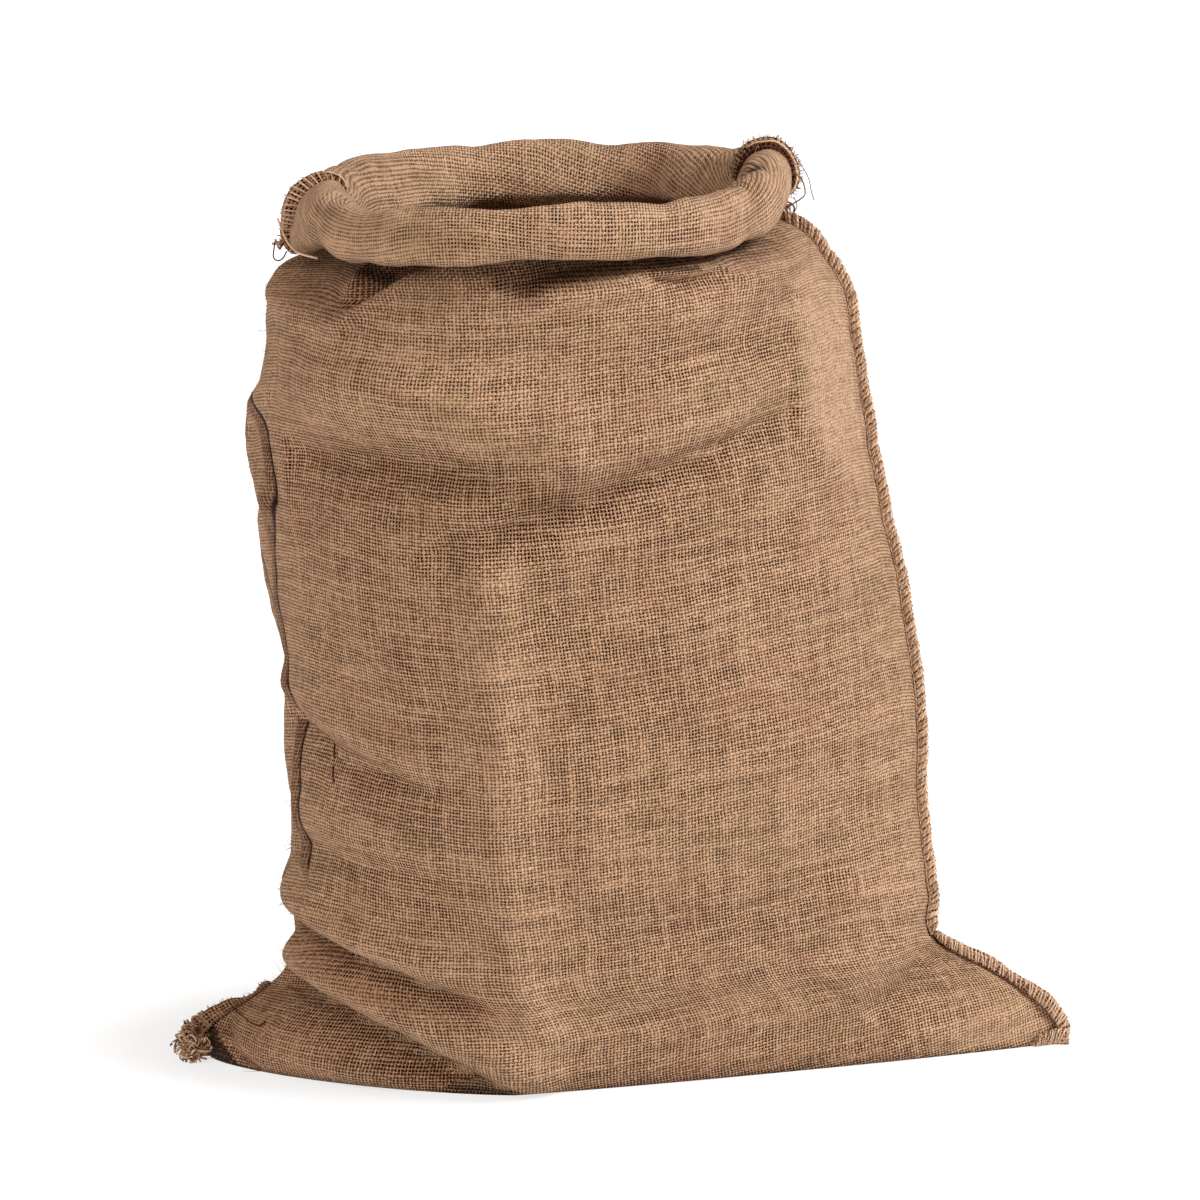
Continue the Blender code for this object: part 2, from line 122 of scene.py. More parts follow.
# %% A number that varies over a surface
class Varying:
    """One output socket of a node tree, with arithmetic."""

    def __init__(self, tree, socket=None):
        self.tree = tree
        self.socket = socket

    def node(self, kind, settings=None, sockets=None, output=0):
        """Adds a node: first its settings, then its sockets, by name or number."""
        made = self.tree.nodes.new(kind)
        for name, value in (settings or {}).items():
            if name == "stops":
                self.set_stops(made.color_ramp.elements, value)
            else:
                setattr(made, name, value)
        for name, value in (sockets or {}).items():
            if isinstance(value, Varying):
                self.tree.links.new(value.socket, made.inputs[name])
            else:
                made.inputs[name].default_value = value
        return Varying(self.tree, made.outputs[output])

    @staticmethod
    def set_stops(elements, stops):
        """Gives a colour ramp its stops, each a place from 0 to 1 and a colour."""
        while len(elements) < len(stops):
            elements.new(0.5)
        for element, (place, shade) in zip(elements, stops):
            element.position = place
            element.color = shade

    def maths(self, operation, *values):
        return self.node("ShaderNodeMath", {"operation": operation}, dict(enumerate(values)))

    def __add__(self, other):
        return self.maths("ADD", self, other)

    def __sub__(self, other):
        return self.maths("SUBTRACT", self, other)

    def __rsub__(self, other):
        return self.maths("SUBTRACT", other, self)

    def __mul__(self, other):
        return self.maths("MULTIPLY", self, other)

    def __truediv__(self, other):
        return self.maths("DIVIDE", self, other)

    __radd__ = __add__
    __rmul__ = __mul__

    def clamped(self, low=0.0, high=1.0):
        return self.maths("MINIMUM", self.maths("MAXIMUM", self, low), high)

    def smooth(self, low, high):
        """0 below low and 1 above high, with a smooth step between."""
        return self.node("ShaderNodeMapRange", {"interpolation_type": "SMOOTHSTEP"},
                         {"Value": self, "From Min": low, "From Max": high})

    def vector(self, *parts):
        return self.node("ShaderNodeCombineXYZ", None, dict(enumerate(parts)))

    def parts(self):
        """The first two numbers of a vector."""
        return [self.node("ShaderNodeSeparateXYZ", None, {0: self}, output=axis)
                for axis in (0, 1)]

    def noise(self, where, detail=1.0):
        """Smooth noise round 0, from about -0.5 to 0.5, with one lump a unit."""
        field = self.node("ShaderNodeTexNoise", {"noise_dimensions": "3D"},
                          {"Vector": where, "Scale": 1.0, "Detail": detail})
        return field - 0.5

    def mark(self, name):
        """A number that the mesh keeps at each of its points."""
        return self.node("ShaderNodeAttribute", {"attribute_name": name}, output=2)

    def blend(self, first, second):
        """Two colours mixed, with this value as the factor.

        The colour sockets of a Mix node are numbers 6 and 7, and its colour output is 2.
        """
        return self.node("ShaderNodeMix", {"data_type": "RGBA"},
                         {0: self, 6: first, 7: second}, output=2)

    def ramp(self, *stops):
        """The colour that a ramp has at this value."""
        return self.node("ShaderNodeValToRGB", {"stops": stops}, {0: self})

    def bump(self, strength, distance):
        """The normal of a surface that stands this high, in units of distance."""
        return self.node("ShaderNodeBump", None,
                         {"Strength": strength, "Distance": distance, "Height": self})


# %% Colours and finishes
def colour(red, green, blue):
    """A colour as paint shops give it, 0 to 255, turned into light by the screen's curve."""
    def light(value):
        value /= 255
        return value / 12.92 if value <= 0.04045 else ((value + 0.055) / 1.055) ** 2.4
    return (light(red), light(green), light(blue), 1.0)


def new_finish(name):
    """A material, the sockets of its main shader, and a Varying to begin its maths from."""
    made = bpy.data.materials.new(name)
    made.use_nodes = True
    return made, made.node_tree.nodes["Principled BSDF"].inputs, Varying(made.node_tree)


def dress(sockets, varying, even):
    """Links what varies over the surface, and sets what is the same all over it."""
    for name, value in varying.items():
        value.tree.links.new(value.socket, sockets[name])
    for name, value in even.items():
        sockets[name].default_value = value


print("pale straw is", tuple(round(c, 2) for c in colour(205, 168, 141)))

# %% [markdown]
# ## Jute cloth
#
# Hessian is a plain weave: each yarn goes over one and under the next, and the yarns are so
# far apart that a dark little window stays open at each corner.  The yarns are spun from
# coarse fibres, so no two are equally thick or equally pale.
#
# The weave could be an image, but a formula keeps its scale everywhere.  The map named
# cloth gives the place on the flat cloth in metres: u across the panel, v up it.  Counted
# in yarns, it gives the number of each yarn, the place within it, and how high it stands.

# %% Patches on the cloth
YARN_PITCH = 2.25 * MM
# Noise in patches: lumps to a yarn across and up, and a plane of the noise for each alone
PATCHES = {
    "far": (0.045, 0.045, 0.0),
    "near": (0.16, 0.16, 4.0),
    "far up": (0.045, 0.045, 9.0),
    "near up": (0.16, 0.16, 14.0),
    "tint": (0.021, 0.021, 20.0),
    "small tint": (0.09, 0.13, 24.0),
    "speck": (0.55, 0.55, 40.0),
    "dense": (0.025, 0.05, 50.0),
    "fuzz": (2.0, 2.0, 70.0),
    "grain": (1.1, 1.1, 74.0),
    "coarse grain": (0.3, 0.3, 78.0),
}


def patches(u, v, name, detail=1.0):
    """The noise of one name, where u and v are counted in yarns."""
    across, up, plane = PATCHES[name]
    return u.noise(u.vector(u * across, v * up, plane), detail)


print("yarns to the inch:", round(25.4 * MM / YARN_PITCH, 1))

# %% One set of yarns
YARNS = {
    # how much of its pitch a yarn fills, how unequal the yarns are, where in the noise their
    # numbers begin, and whether the first of them goes over
    "warp": dict(share=0.62, uneven=0.5, offset=0.0, over_first=True),  # upright
    "weft": dict(share=0.64, uneven=0.72, offset=57.0, over_first=False),  # level
}
# Noise along a yarn: how far apart two neighbours are in it, and lumps to a pitch along one
SPUN, THIN, SLUB, FIBRE = (7.37, 0.035), (5.13, 0.30), (3.91, 0.05), (5.0, 0.55)
THIN_PLANE, SLUB_PLANE, FIBRE_PLANE = 27.0, 31.0, 3.0  # one plane of the noise for each
SLUB_FROM = (0.16, 0.3)  # over which noise a thick place in the yarn comes in
THIN_SHARE = 0.55  # how much the noise along a yarn changes its width
SLUB_SHARE = 0.12  # and how much a slub does
HALF_WIDTH = (0.22, 0.6)  # the least and the most that half a yarn takes of its pitch
YARN_EDGE = 0.25  # how soft the edge of a yarn is
GAP_DROP = 1.5  # how deep the gap beside a yarn counts, in thicknesses


def yarns(this, other, dense, share, uneven, offset, over_first):
    """One set of yarns: this counts across them, and other counts along them."""
    def along(first, lumps_along, plane, detail=1.0):
        return this.noise(this.vector(first, other * lumps_along, plane), detail)

    number = this.maths("FLOOR", this)
    off_middle = this - number - 0.5
    # each yarn has its own thickness, which also changes along it
    spun = along(number * SPUN[0] + offset, SPUN[1], offset)
    thin = along(number * THIN[0] + offset, THIN[1], THIN_PLANE + offset)
    slub = along(number * SLUB[0] + offset, SLUB[1], SLUB_PLANE).smooth(*SLUB_FROM)
    half = share / 2 + dense * 0.5 + spun * uneven + thin * THIN_SHARE + slub * SLUB_SHARE
    half = half.clamped(*HALF_WIDTH)
    arch = 1.0 - (off_middle / half) * (off_middle / half)
    odd = this.maths("FLOORED_MODULO", number, 2.0)
    lift = this.maths("COSINE", (other - 0.5) * np.pi) * (1.0 - odd * 2.0)
    if not over_first:
        lift = 0.0 - lift
    cover = arch.smooth(0.0, YARN_EDGE)
    profile = this.maths("SQRT", arch.clamped(0.0, 1.0))
    height = profile * 0.5 + lift * 0.5 + (cover - 1.0) * GAP_DROP
    fibre = along(this * FIBRE[0], FIBRE[1], FIBRE_PLANE + offset, 2.0)
    return dict(height=height, cover=cover, spun=spun, slub=slub, fibre=fibre)


print("sets of yarns:", ", ".join(YARNS))

# %% [markdown]
# ## The weave
#
# In hessian the yarns stray from their lines, a little from one to the next and more over a
# hand's breadth, and the windows close where the cloth is dense: towards the selvedges and
# where it is rubbed.  Both sets of yarns are worked out everywhere, and the higher one is
# seen.  Comparing heights was chosen over a mask for each crossing, because thick yarns then
# hide thin ones by themselves.

# %% The two sets of yarns together
WANDER = 0.9 * MM  # how far a yarn strays from its line
WANDER_FAR, WANDER_NEAR = 3.2, 1.3  # of that over many yarns, and over a few
BACK_AWAY = (3000.0, 700.0)  # millimetres on the map from the front panel to the back one
SELVEDGE = (0.17, 0.26)  # metres from a panel's middle over which it grows denser
SELVEDGE_SHARE = 0.08  # how much more of its pitch a yarn fills there
PATCH_SHARE = 0.10  # the same from patch to patch
WEAR_SHARE = 0.12  # and where the cloth is rubbed to fuzz; where the mark is below 0, in creases with painted shade, the windows open instead
CROSSING = (-0.2, 0.15)  # over which difference in height one yarn gives way to the other
WINDOW_DROP = -0.7  # how deep a window may look


def weave(u, v, wear):
    """How the yarns lie at each place of the cloth, which u and v count in yarns."""
    strays = WANDER_FAR * (WANDER / YARN_PITCH), WANDER_NEAR * (WANDER / YARN_PITCH)
    across = u + patches(u, v, "far") * strays[0] + patches(u, v, "near") * strays[1]
    up = v + patches(u, v, "far up") * strays[0] + patches(u, v, "near up") * strays[1]
    half_way = BACK_AWAY[0] * MM / 2
    from_middle = u.maths("WRAP", u * YARN_PITCH, half_way, -half_way)
    side = u.maths("ABSOLUTE", from_middle).smooth(*SELVEDGE)
    dense = patches(u, v, "dense", 2.0) * PATCH_SHARE + side * SELVEDGE_SHARE
    dense = dense + u.maths("MAXIMUM", wear, -1.0) * WEAR_SHARE
    warp = yarns(across, up, dense, **YARNS["warp"])
    weft = yarns(up, across, dense, **YARNS["weft"])
    over = (weft["height"] - warp["height"]).smooth(*CROSSING)
    lie = {name: warp[name] + (weft[name] - warp[name]) * over
           for name in ("spun", "fibre", "slub")}
    lie["gap"] = 1.0 - u.maths("MAXIMUM", warp["cover"], weft["cover"])
    highest = u.maths("MAXIMUM", warp["height"], weft["height"])
    lie["height"] = u.maths("MAXIMUM", highest, WINDOW_DROP)
    return lie


print("a yarn strays", round(0.5 * (WANDER_FAR + WANDER_NEAR) * WANDER / MM, 1), "mm at most")

# %% [markdown]
# ## The colour of the cloth
#
# Raw jute is straw brown, rosier in some patches and greener in others, and pale where its
# fibres are rubbed up to a nap.  A yarn that stands high gets a painted highlight; dirt is dark,
# and the dips between the yarns, creases and the windows get painted shade.  A ramp from dark
# to pale gives all of that from one number, the tone, so each cause only has to add its share
# to it.  The marks that the mesh keeps at its points say how worn the cloth is there, with
# painted shade in its creases, which face is the inner one, how much soil, painted shade or
# painted light it has, and how far the seam is.

# %% Colours of the cloth
JUTE_DARK = colour(80, 38, 20)
JUTE_MID = colour(143, 101, 70)
JUTE_PALE = colour(208, 167, 132)
JUTE_ROSE = colour(152, 95, 73)
JUTE_OCHRE = colour(132, 105, 64)
# the shaded inside seen through the windows, as painted shade; also used for painted shade in
# creases and seams, and for dark specks
WINDOW = colour(30, 11, 4)
FUZZ = colour(188, 157, 131)
# height paints a highlight on high yarns and shade in the dips between them; the worn share pales
# rubbed crests and adds painted shade in creases
TONE = dict(middle=0.43, spun=0.3, fibre=0.9, slub=0.12, height=0.62, fuzz=1.9, worn_and_shaded=0.05)
INNER_PAINTED_LIGHT = 0.16  # how much paler the inner face is painted, as painted light on the roll of the cuff
RUBBED_TONE = 0.68  # how pale the grain is where the nap hides the weave
TINT = 0.22  # how far a patch leans to its tint
TINT_FROM = (0.02, 0.22)  # over which noise that comes in
SMALL_TINT = 0.8  # how much the small patches count beside the large ones
SPECK_FROM = (0.31, 0.36)  # over which noise a dark speck comes in
SPECK_DARK = 0.75
WEAR_FUZZ = 0.34  # how far a rubbed colour goes to that of the fuzz
FUZZ_EVEN, FUZZ_PATCHY = 0.7, 2.0  # how much of that is even, and how much comes in patches
FUZZ_MOST = 0.3  # and the most that it goes anywhere
CREASE_FROM = (1.1, 2.3)  # over which depth of a mark no light gets in
CREASE_DARK = 0.88


def cloth_colour(u, v, lie, wear, fuzz, grain, nap):
    """The colour of the yarns, with painted highlights and shade by their height, painted shade
    in the windows between them and in creases, fuzz and specks.
    """
    tone = (TONE["middle"] + lie["spun"] * TONE["spun"] + lie["fibre"] * TONE["fibre"]
            + lie["slub"] * TONE["slub"] + lie["height"] * TONE["height"]
            + fuzz * TONE["fuzz"] + u.maths("MAXIMUM", wear, -1.0) * TONE["worn_and_shaded"]
            + u.mark("clean") * INNER_PAINTED_LIGHT - u.mark("soil"))
    tone = (tone + (RUBBED_TONE + grain - tone) * nap).clamped()
    yarn = tone.ramp((0.12, JUTE_DARK), (0.50, JUTE_MID), (0.95, JUTE_PALE))
    tint = patches(u, v, "tint", 2.0) + patches(u, v, "small tint") * SMALL_TINT
    yarn = (tint.smooth(*TINT_FROM) * TINT).blend(yarn, JUTE_ROSE)
    yarn = ((0.0 - tint).smooth(*TINT_FROM) * TINT).blend(yarn, JUTE_OCHRE)
    speck = patches(u, v, "speck").smooth(*SPECK_FROM)
    yarn = (speck * SPECK_DARK).blend(yarn, WINDOW)
    # painted shade of the inside, seen through the windows between the yarns
    seen = (lie["gap"] * (1.0 - nap)).blend(yarn, WINDOW)
    fuzzy = (wear * WEAR_FUZZ * (FUZZ_EVEN + fuzz * FUZZ_PATCHY)).clamped(0.0, FUZZ_MOST)
    seen = fuzzy.blend(seen, FUZZ)
    # painted shade where the mark is deepest: creases, slits, the hollow and the foot; two stains
    # darken the same way
    return ((0.0 - wear).smooth(*CREASE_FROM) * CREASE_DARK).blend(seen, WINDOW)


print("a middling yarn has a tone of", TONE["middle"])

# %% Lines of the seams on the cloth
SEAM_LINE = (0.4, 2.9)  # millimetres from the left seam over which its dark line, painted shade in the groove, ends
SEAM_SHADE = (-26.0, -3.0)  # and over which the painted shadow beside it comes in
SEAM_OVER = (0.0, 2.0)  # and goes again, where the other panel begins
LEFT_PART = (-0.15, -0.10)  # metres across the map by which the left part has ended
CHAIN_DARK = 0.4  # how dark the chain stitches on the right are beside that line
SHADE_DARK, LINE_DARK = 0.5, 0.95


def with_seams(seen, u):
    """The same colour with painted shade in a thin line where one panel goes under the other, and
    a painted shadow beside it; on the right a dark line of chain stitches.
    """
    beside = u.mark("beside_seam")
    left = 1.0 - (u * YARN_PITCH).smooth(*LEFT_PART)
    near = 1.0 - u.maths("ABSOLUTE", beside).smooth(*SEAM_LINE)
    line = (left * (1 - CHAIN_DARK) + CHAIN_DARK) * near
    shade = left * beside.smooth(*SEAM_SHADE) * (1.0 - beside.smooth(*SEAM_OVER))
    seen = (shade * SHADE_DARK).blend(seen, JUTE_DARK)
    return (line * LINE_DARK).blend(seen, WINDOW)


print("the line of a seam is", 2 * SEAM_LINE[1], "mm wide at most")

# %% The finish of the cloth
NAP_FROM = (0.45, 1.0)  # over which wear the nap comes in
NAP_HIDES = 0.55  # how much of the weave it hides
NAP_SMOOTHS = 0.8  # and how much of the relief
GRAIN, COARSE_GRAIN = 2.2, 0.9
RELIEF = 1.1 * MM  # how high a yarn stands in the relief
FIBRE_RELIEF, FUZZ_RELIEF, GRAIN_RELIEF = 0.25, 0.5, 0.5
CLOTH_SURFACE = {"Roughness": 0.95, "Sheen Weight": 0.04, "Sheen Roughness": 0.5,
                 "Specular IOR Level": 0.1}


def jute_cloth():
    """The finish of the woven cloth."""
    made, sockets, root = new_finish("jute cloth")
    flat = root.node("ShaderNodeUVMap", {"uv_map": "cloth"})
    u, v = root.node("ShaderNodeVectorMath", {"operation": "SCALE"},
                     {0: flat, "Scale": 1 / YARN_PITCH}).parts()
    wear = root.mark("wear")
    lie = weave(u, v, wear)
    fuzz = patches(u, v, "fuzz")
    grain = patches(u, v, "grain") * GRAIN + patches(u, v, "coarse grain") * COARSE_GRAIN
    nap = wear.smooth(*NAP_FROM) * NAP_HIDES
    seen = with_seams(cloth_colour(u, v, lie, wear, fuzz, grain, nap), u)
    rise = ((lie["height"] + lie["fibre"] * FIBRE_RELIEF) * (1.0 - nap * NAP_SMOOTHS)
            + fuzz * FUZZ_RELIEF + grain * nap * GRAIN_RELIEF)
    dress(sockets, {"Base Color": seen, "Normal": rise.bump(1.0, RELIEF)}, CLOTH_SURFACE)
    return made


cloth_finish = jute_cloth()
print("cloth nodes:", len(cloth_finish.node_tree.nodes))

# %% [markdown]
# ## Jute twine
#
# The seams are overcast with a soft twine of two plies.  Its map runs along the twine and
# once round it, so slanting stripes give the twist, in bump and in painted shade between the
# plies, and long streaks give the fibres.  The twist could be modelled as two strands round each
# other, but at a millimetre thick stripes look the same and need half the faces.

# %% Twine
TWIST = 3.4 * MM  # length of one turn of the twine
PLIES = 2.0
TWINE_PALE = colour(236, 201, 170)
STREAKS = (260.0, 9.0, 2.0)  # streaks to a metre along, and round, and their plane
SHADES = (45.0, 7.0)  # paler and darker stretches to a metre, and their plane
# ply darkens the stripes between the plies, as painted shade
TWINE_TONE = dict(middle=0.78, ply=0.12, streak=0.6, shade=0.9)
TWINE_RELIEF = (0.8, 0.3 * MM)
TWINE_SURFACE = {"Roughness": 0.9, "Sheen Weight": 0.08, "Sheen Roughness": 0.5,
                 "Specular IOR Level": 0.15}


def jute_twine():
    """The finish of sewing twine, cut yarn ends and loose hairs."""
    made, sockets, root = new_finish("jute twine")
    along, turn = root.node("ShaderNodeUVMap", {"uv_map": "cloth"}).parts()
    ply = root.maths("SINE", (along / TWIST + turn * PLIES) * (2 * np.pi))
    streak = root.noise(root.vector(along * STREAKS[0], turn * STREAKS[1], STREAKS[2]), 2.0)
    shade = root.noise(root.vector(along * SHADES[0], 0.0, SHADES[1]))
    tone = (TWINE_TONE["middle"] + ply * TWINE_TONE["ply"] + streak * TWINE_TONE["streak"]
            + shade * TWINE_TONE["shade"] - root.mark("soil")).clamped()
    yarn = tone.ramp((0.10, JUTE_DARK), (0.52, JUTE_MID), (0.95, TWINE_PALE))
    rise = ply * 0.5 + streak
    dress(sockets, {"Base Color": yarn, "Normal": rise.bump(*TWINE_RELIEF)}, TWINE_SURFACE)
    return made


twine_finish = jute_twine()
print("twine nodes:", len(twine_finish.node_tree.nodes))

# %% [markdown]
# ## The shape of the filled sack
#
# The wall is described by level sections.  Each has a left and a right side, a front that
# stands out furthest at its apex, and a back.  Between the rows of the table the values
# run smoothly, so the same few rows can give a coarse solid or this fine cloth.
#
# A cloth simulation over a heap of potatoes would find folds of its own, but not these, so
# the body is lofted and each crease is laid along a short curved line.

# %% Tables of the body, in millimetres
CLOTH = 2.0  # how thick the cloth is
GIRTH = 1200.0  # how long it is once round
SECTION_COLUMNS = ("height", "left_x", "left_y", "apex_x", "front_y", "right_x", "right_y",
                   "back_x", "back_y", "sharp_left", "sharp_right", "sharp_back")
SECTIONS = (
    (0,   -276, -36, -69, -121, 292, -9,   0, 102, 1.45, 1.10, 1.35),
    (9,   -282, -37, -70, -126, 296, -9,   0, 112, 1.48, 1.12, 1.38),
    (24,  -273, -36, -72, -130, 288, -9,   0, 122, 1.50, 1.16, 1.42),
    (40,  -250, -34, -74, -134, 269, -8,   0, 130, 1.55, 1.24, 1.50),
    (56,  -230, -32, -76, -138, 241, -7,   0, 137, 1.62, 1.34, 1.60),
    (72,  -222, -28, -78, -142, 213, -5,   0, 143, 1.70, 1.50, 1.72),
    (105, -222, -20, -80, -149, 207, -3,   0, 150, 1.75, 1.62, 1.82),
    (160, -221, -12, -82, -158, 198, 0,    0, 158, 1.80, 1.70, 1.90),
    (240, -220, -5,  -82, -166, 194, 0,   -5, 165, 1.80, 1.75, 1.95),
    (330, -233, 0,   -76, -170, 180, 0,  -15, 168, 1.85, 1.80, 1.95),
    (410, -238, 0,   -64, -171, 163, 0,  -25, 169, 1.90, 1.85, 1.95),
    (480, -234, 0,   -56, -171, 150, 0,  -35, 169, 1.95, 1.90, 2.00),
    (518, -224, 0,   -52, -169, 136, 0,  -42, 167, 2.00, 1.95, 2.00),
    (538, -202, 0,   -52, -160, 110, 0,  -50, 158, 2.00, 2.00, 2.00),
    (550, -184, 0,   -52, -151, 80,  0,  -52, 150, 2.00, 2.00, 2.00),
)
# The way round, and the height of the rim there: 0 is the left side, a quarter the front,
# a half the right side and three quarters the back
RIM = (
    (0.00, 590), (0.06, 583), (0.12, 579), (0.20, 586), (0.30, 588), (0.38, 589),
    (0.44, 595), (0.50, 606), (0.56, 599), (0.64, 594), (0.75, 592), (0.88, 589),
)
print(len(SECTIONS), "sections")

# %% Smooth reading of the tables
def table_at(rows, where):
    """The columns of a table after its first one, read smoothly at the values in where."""
    rows = np.asarray(rows, dtype=float)
    knots, values = rows[:, 0], rows[:, 1:]
    slopes = np.gradient(values, knots, axis=0)
    where = np.clip(np.asarray(where, dtype=float), knots[0], knots[-1])
    cell = np.clip(np.searchsorted(knots, where, side="right") - 1, 0, len(knots) - 2)
    span = (knots[cell + 1] - knots[cell])[..., None]
    t = (where - knots[cell])[..., None] / span
    start = (2 * t**3 - 3 * t**2 + 1) * values[cell] + (t**3 - 2 * t**2 + t) * span * slopes[cell]
    stop = (3 * t**2 - 2 * t**3) * values[cell + 1] + (t**3 - t**2) * span * slopes[cell + 1]
    return start + stop


def ring_table_at(rows, way):
    """The same for a table that closes on itself after one way round."""
    rows = np.asarray(rows, dtype=float)
    turn = np.zeros(rows.shape[1])
    turn[0] = 1.0
    return table_at(np.vstack([rows[-3:] - turn, rows, rows[:3] + turn]), np.mod(way, 1.0))


def smoothstep(low, high, value):
    """0 below low and 1 above high, with a smooth step between."""
    t = np.clip((value - low) / (high - low), 0.0, 1.0)
    return t * t * (3 - 2 * t)


def within(span, value):
    """1 within a span: it comes in over the first two numbers, and goes over the last two."""
    return smoothstep(*span[:2], value) * (1 - smoothstep(*span[2:], value))


print("rim at the front:", ring_table_at(RIM, 0.25).round(1), "mm")

# %% Level sections
FRONT_COLUMNS = 176  # columns of points round the front, which is seen most
BACK_COLUMNS = 100
END_CROWDING = 0.45  # how much closer together they stand at both sides
BOW_STEPS = 240  # points of the fine line that they are read from
SIDE_INSET = 1.7  # how much further in the inner face is at a sharp side


def crowded(count):
    """Places from 0 to 1 that stand closer together at both ends."""
    t = np.linspace(0.0, 1.0, count + 1)
    return t - END_CROWDING * np.sin(2 * np.pi * t) / (2 * np.pi)


ways = np.concatenate([0.5 * crowded(FRONT_COLUMNS)[:-1], 0.5 + 0.5 * crowded(BACK_COLUMNS)[:-1]])
over_front = ways < 0.5


def round_from(way):
    """How far each column is from a way round, in millimetres along the cloth."""
    return ((ways - way + 0.5) % 1.0 - 0.5) * GIRTH


def spaced(line, places):
    """Points at shares of the length of a line, and its length."""
    steps = np.linalg.norm(np.diff(line, axis=0), axis=1)
    length = np.concatenate([[0.0], np.cumsum(steps)])
    at = places * length[-1]
    return np.stack([np.interp(at, length, line[:, k]) for k in (0, 1)], axis=1), length[-1]


def level_section(height, inset):
    """Points of the section at a height, and how far each is from its panel's middle."""
    row = dict(zip(SECTION_COLUMNS[1:], table_at(SECTIONS, height)))
    left = row["left_x"] + inset * (1 + SIDE_INSET * (2 - row["sharp_left"]))
    right = row["right_x"] - inset * (1 + SIDE_INSET * (2 - row["sharp_right"]))
    turn = np.linspace(0.0, np.pi / 2, BOW_STEPS)

    def side_y(x):
        share = (x - row["left_x"]) / (row["right_x"] - row["left_x"])
        return row["left_y"] + share * (row["right_y"] - row["left_y"])

    def bow(apex_x, apex_y, sharp_left, sharp_right):
        x_left = apex_x - (apex_x - left) * np.cos(turn) ** (2 / sharp_left)
        x_right = apex_x + (right - apex_x) * np.cos(turn[::-1]) ** (2 / sharp_right)
        x = np.concatenate([x_left, x_right[1:]])
        rise = np.concatenate([np.sin(turn) ** (2 / sharp_left),
                               np.sin(turn[::-1][1:]) ** (2 / sharp_right)])
        return np.stack([x, side_y(x) + (apex_y - side_y(apex_x)) * rise], axis=1)

    front = bow(row["apex_x"], row["front_y"] + inset, row["sharp_left"], row["sharp_right"])
    back = bow(row["back_x"], row["back_y"] - inset, row["sharp_back"], row["sharp_back"])
    points = np.empty((len(ways), 2))
    across = np.empty(len(ways))
    for chosen, line, places in ((over_front, front, ways[over_front] * 2),
                                 (~over_front, back[::-1], ways[~over_front] * 2 - 1)):
        points[chosen], length = spaced(line, places)
        across[chosen] = (places - 0.5) * length
    return points, across


def outward(section):
    """The level direction that points out of a closed section, at each of its points."""
    along = np.roll(section, -1, axis=-2) - np.roll(section, 1, axis=-2)
    normal = np.stack([along[..., 1], -along[..., 0]], axis=-1)
    return normal / np.linalg.norm(normal, axis=-1, keepdims=True)


print("columns:", len(ways))

# %% [markdown]
# ## Folds
#
# A crease in coarse cloth is a soft trough with a lip of slack above it, not a sharp line.
# Each row below is one: three points given by the way round and the height, the half width
# of the trough, how deep it is (a negative depth is a ridge), and the height of its lip.
# Moving the cloth level, in or out, keeps the folds in both faces of the cloth.

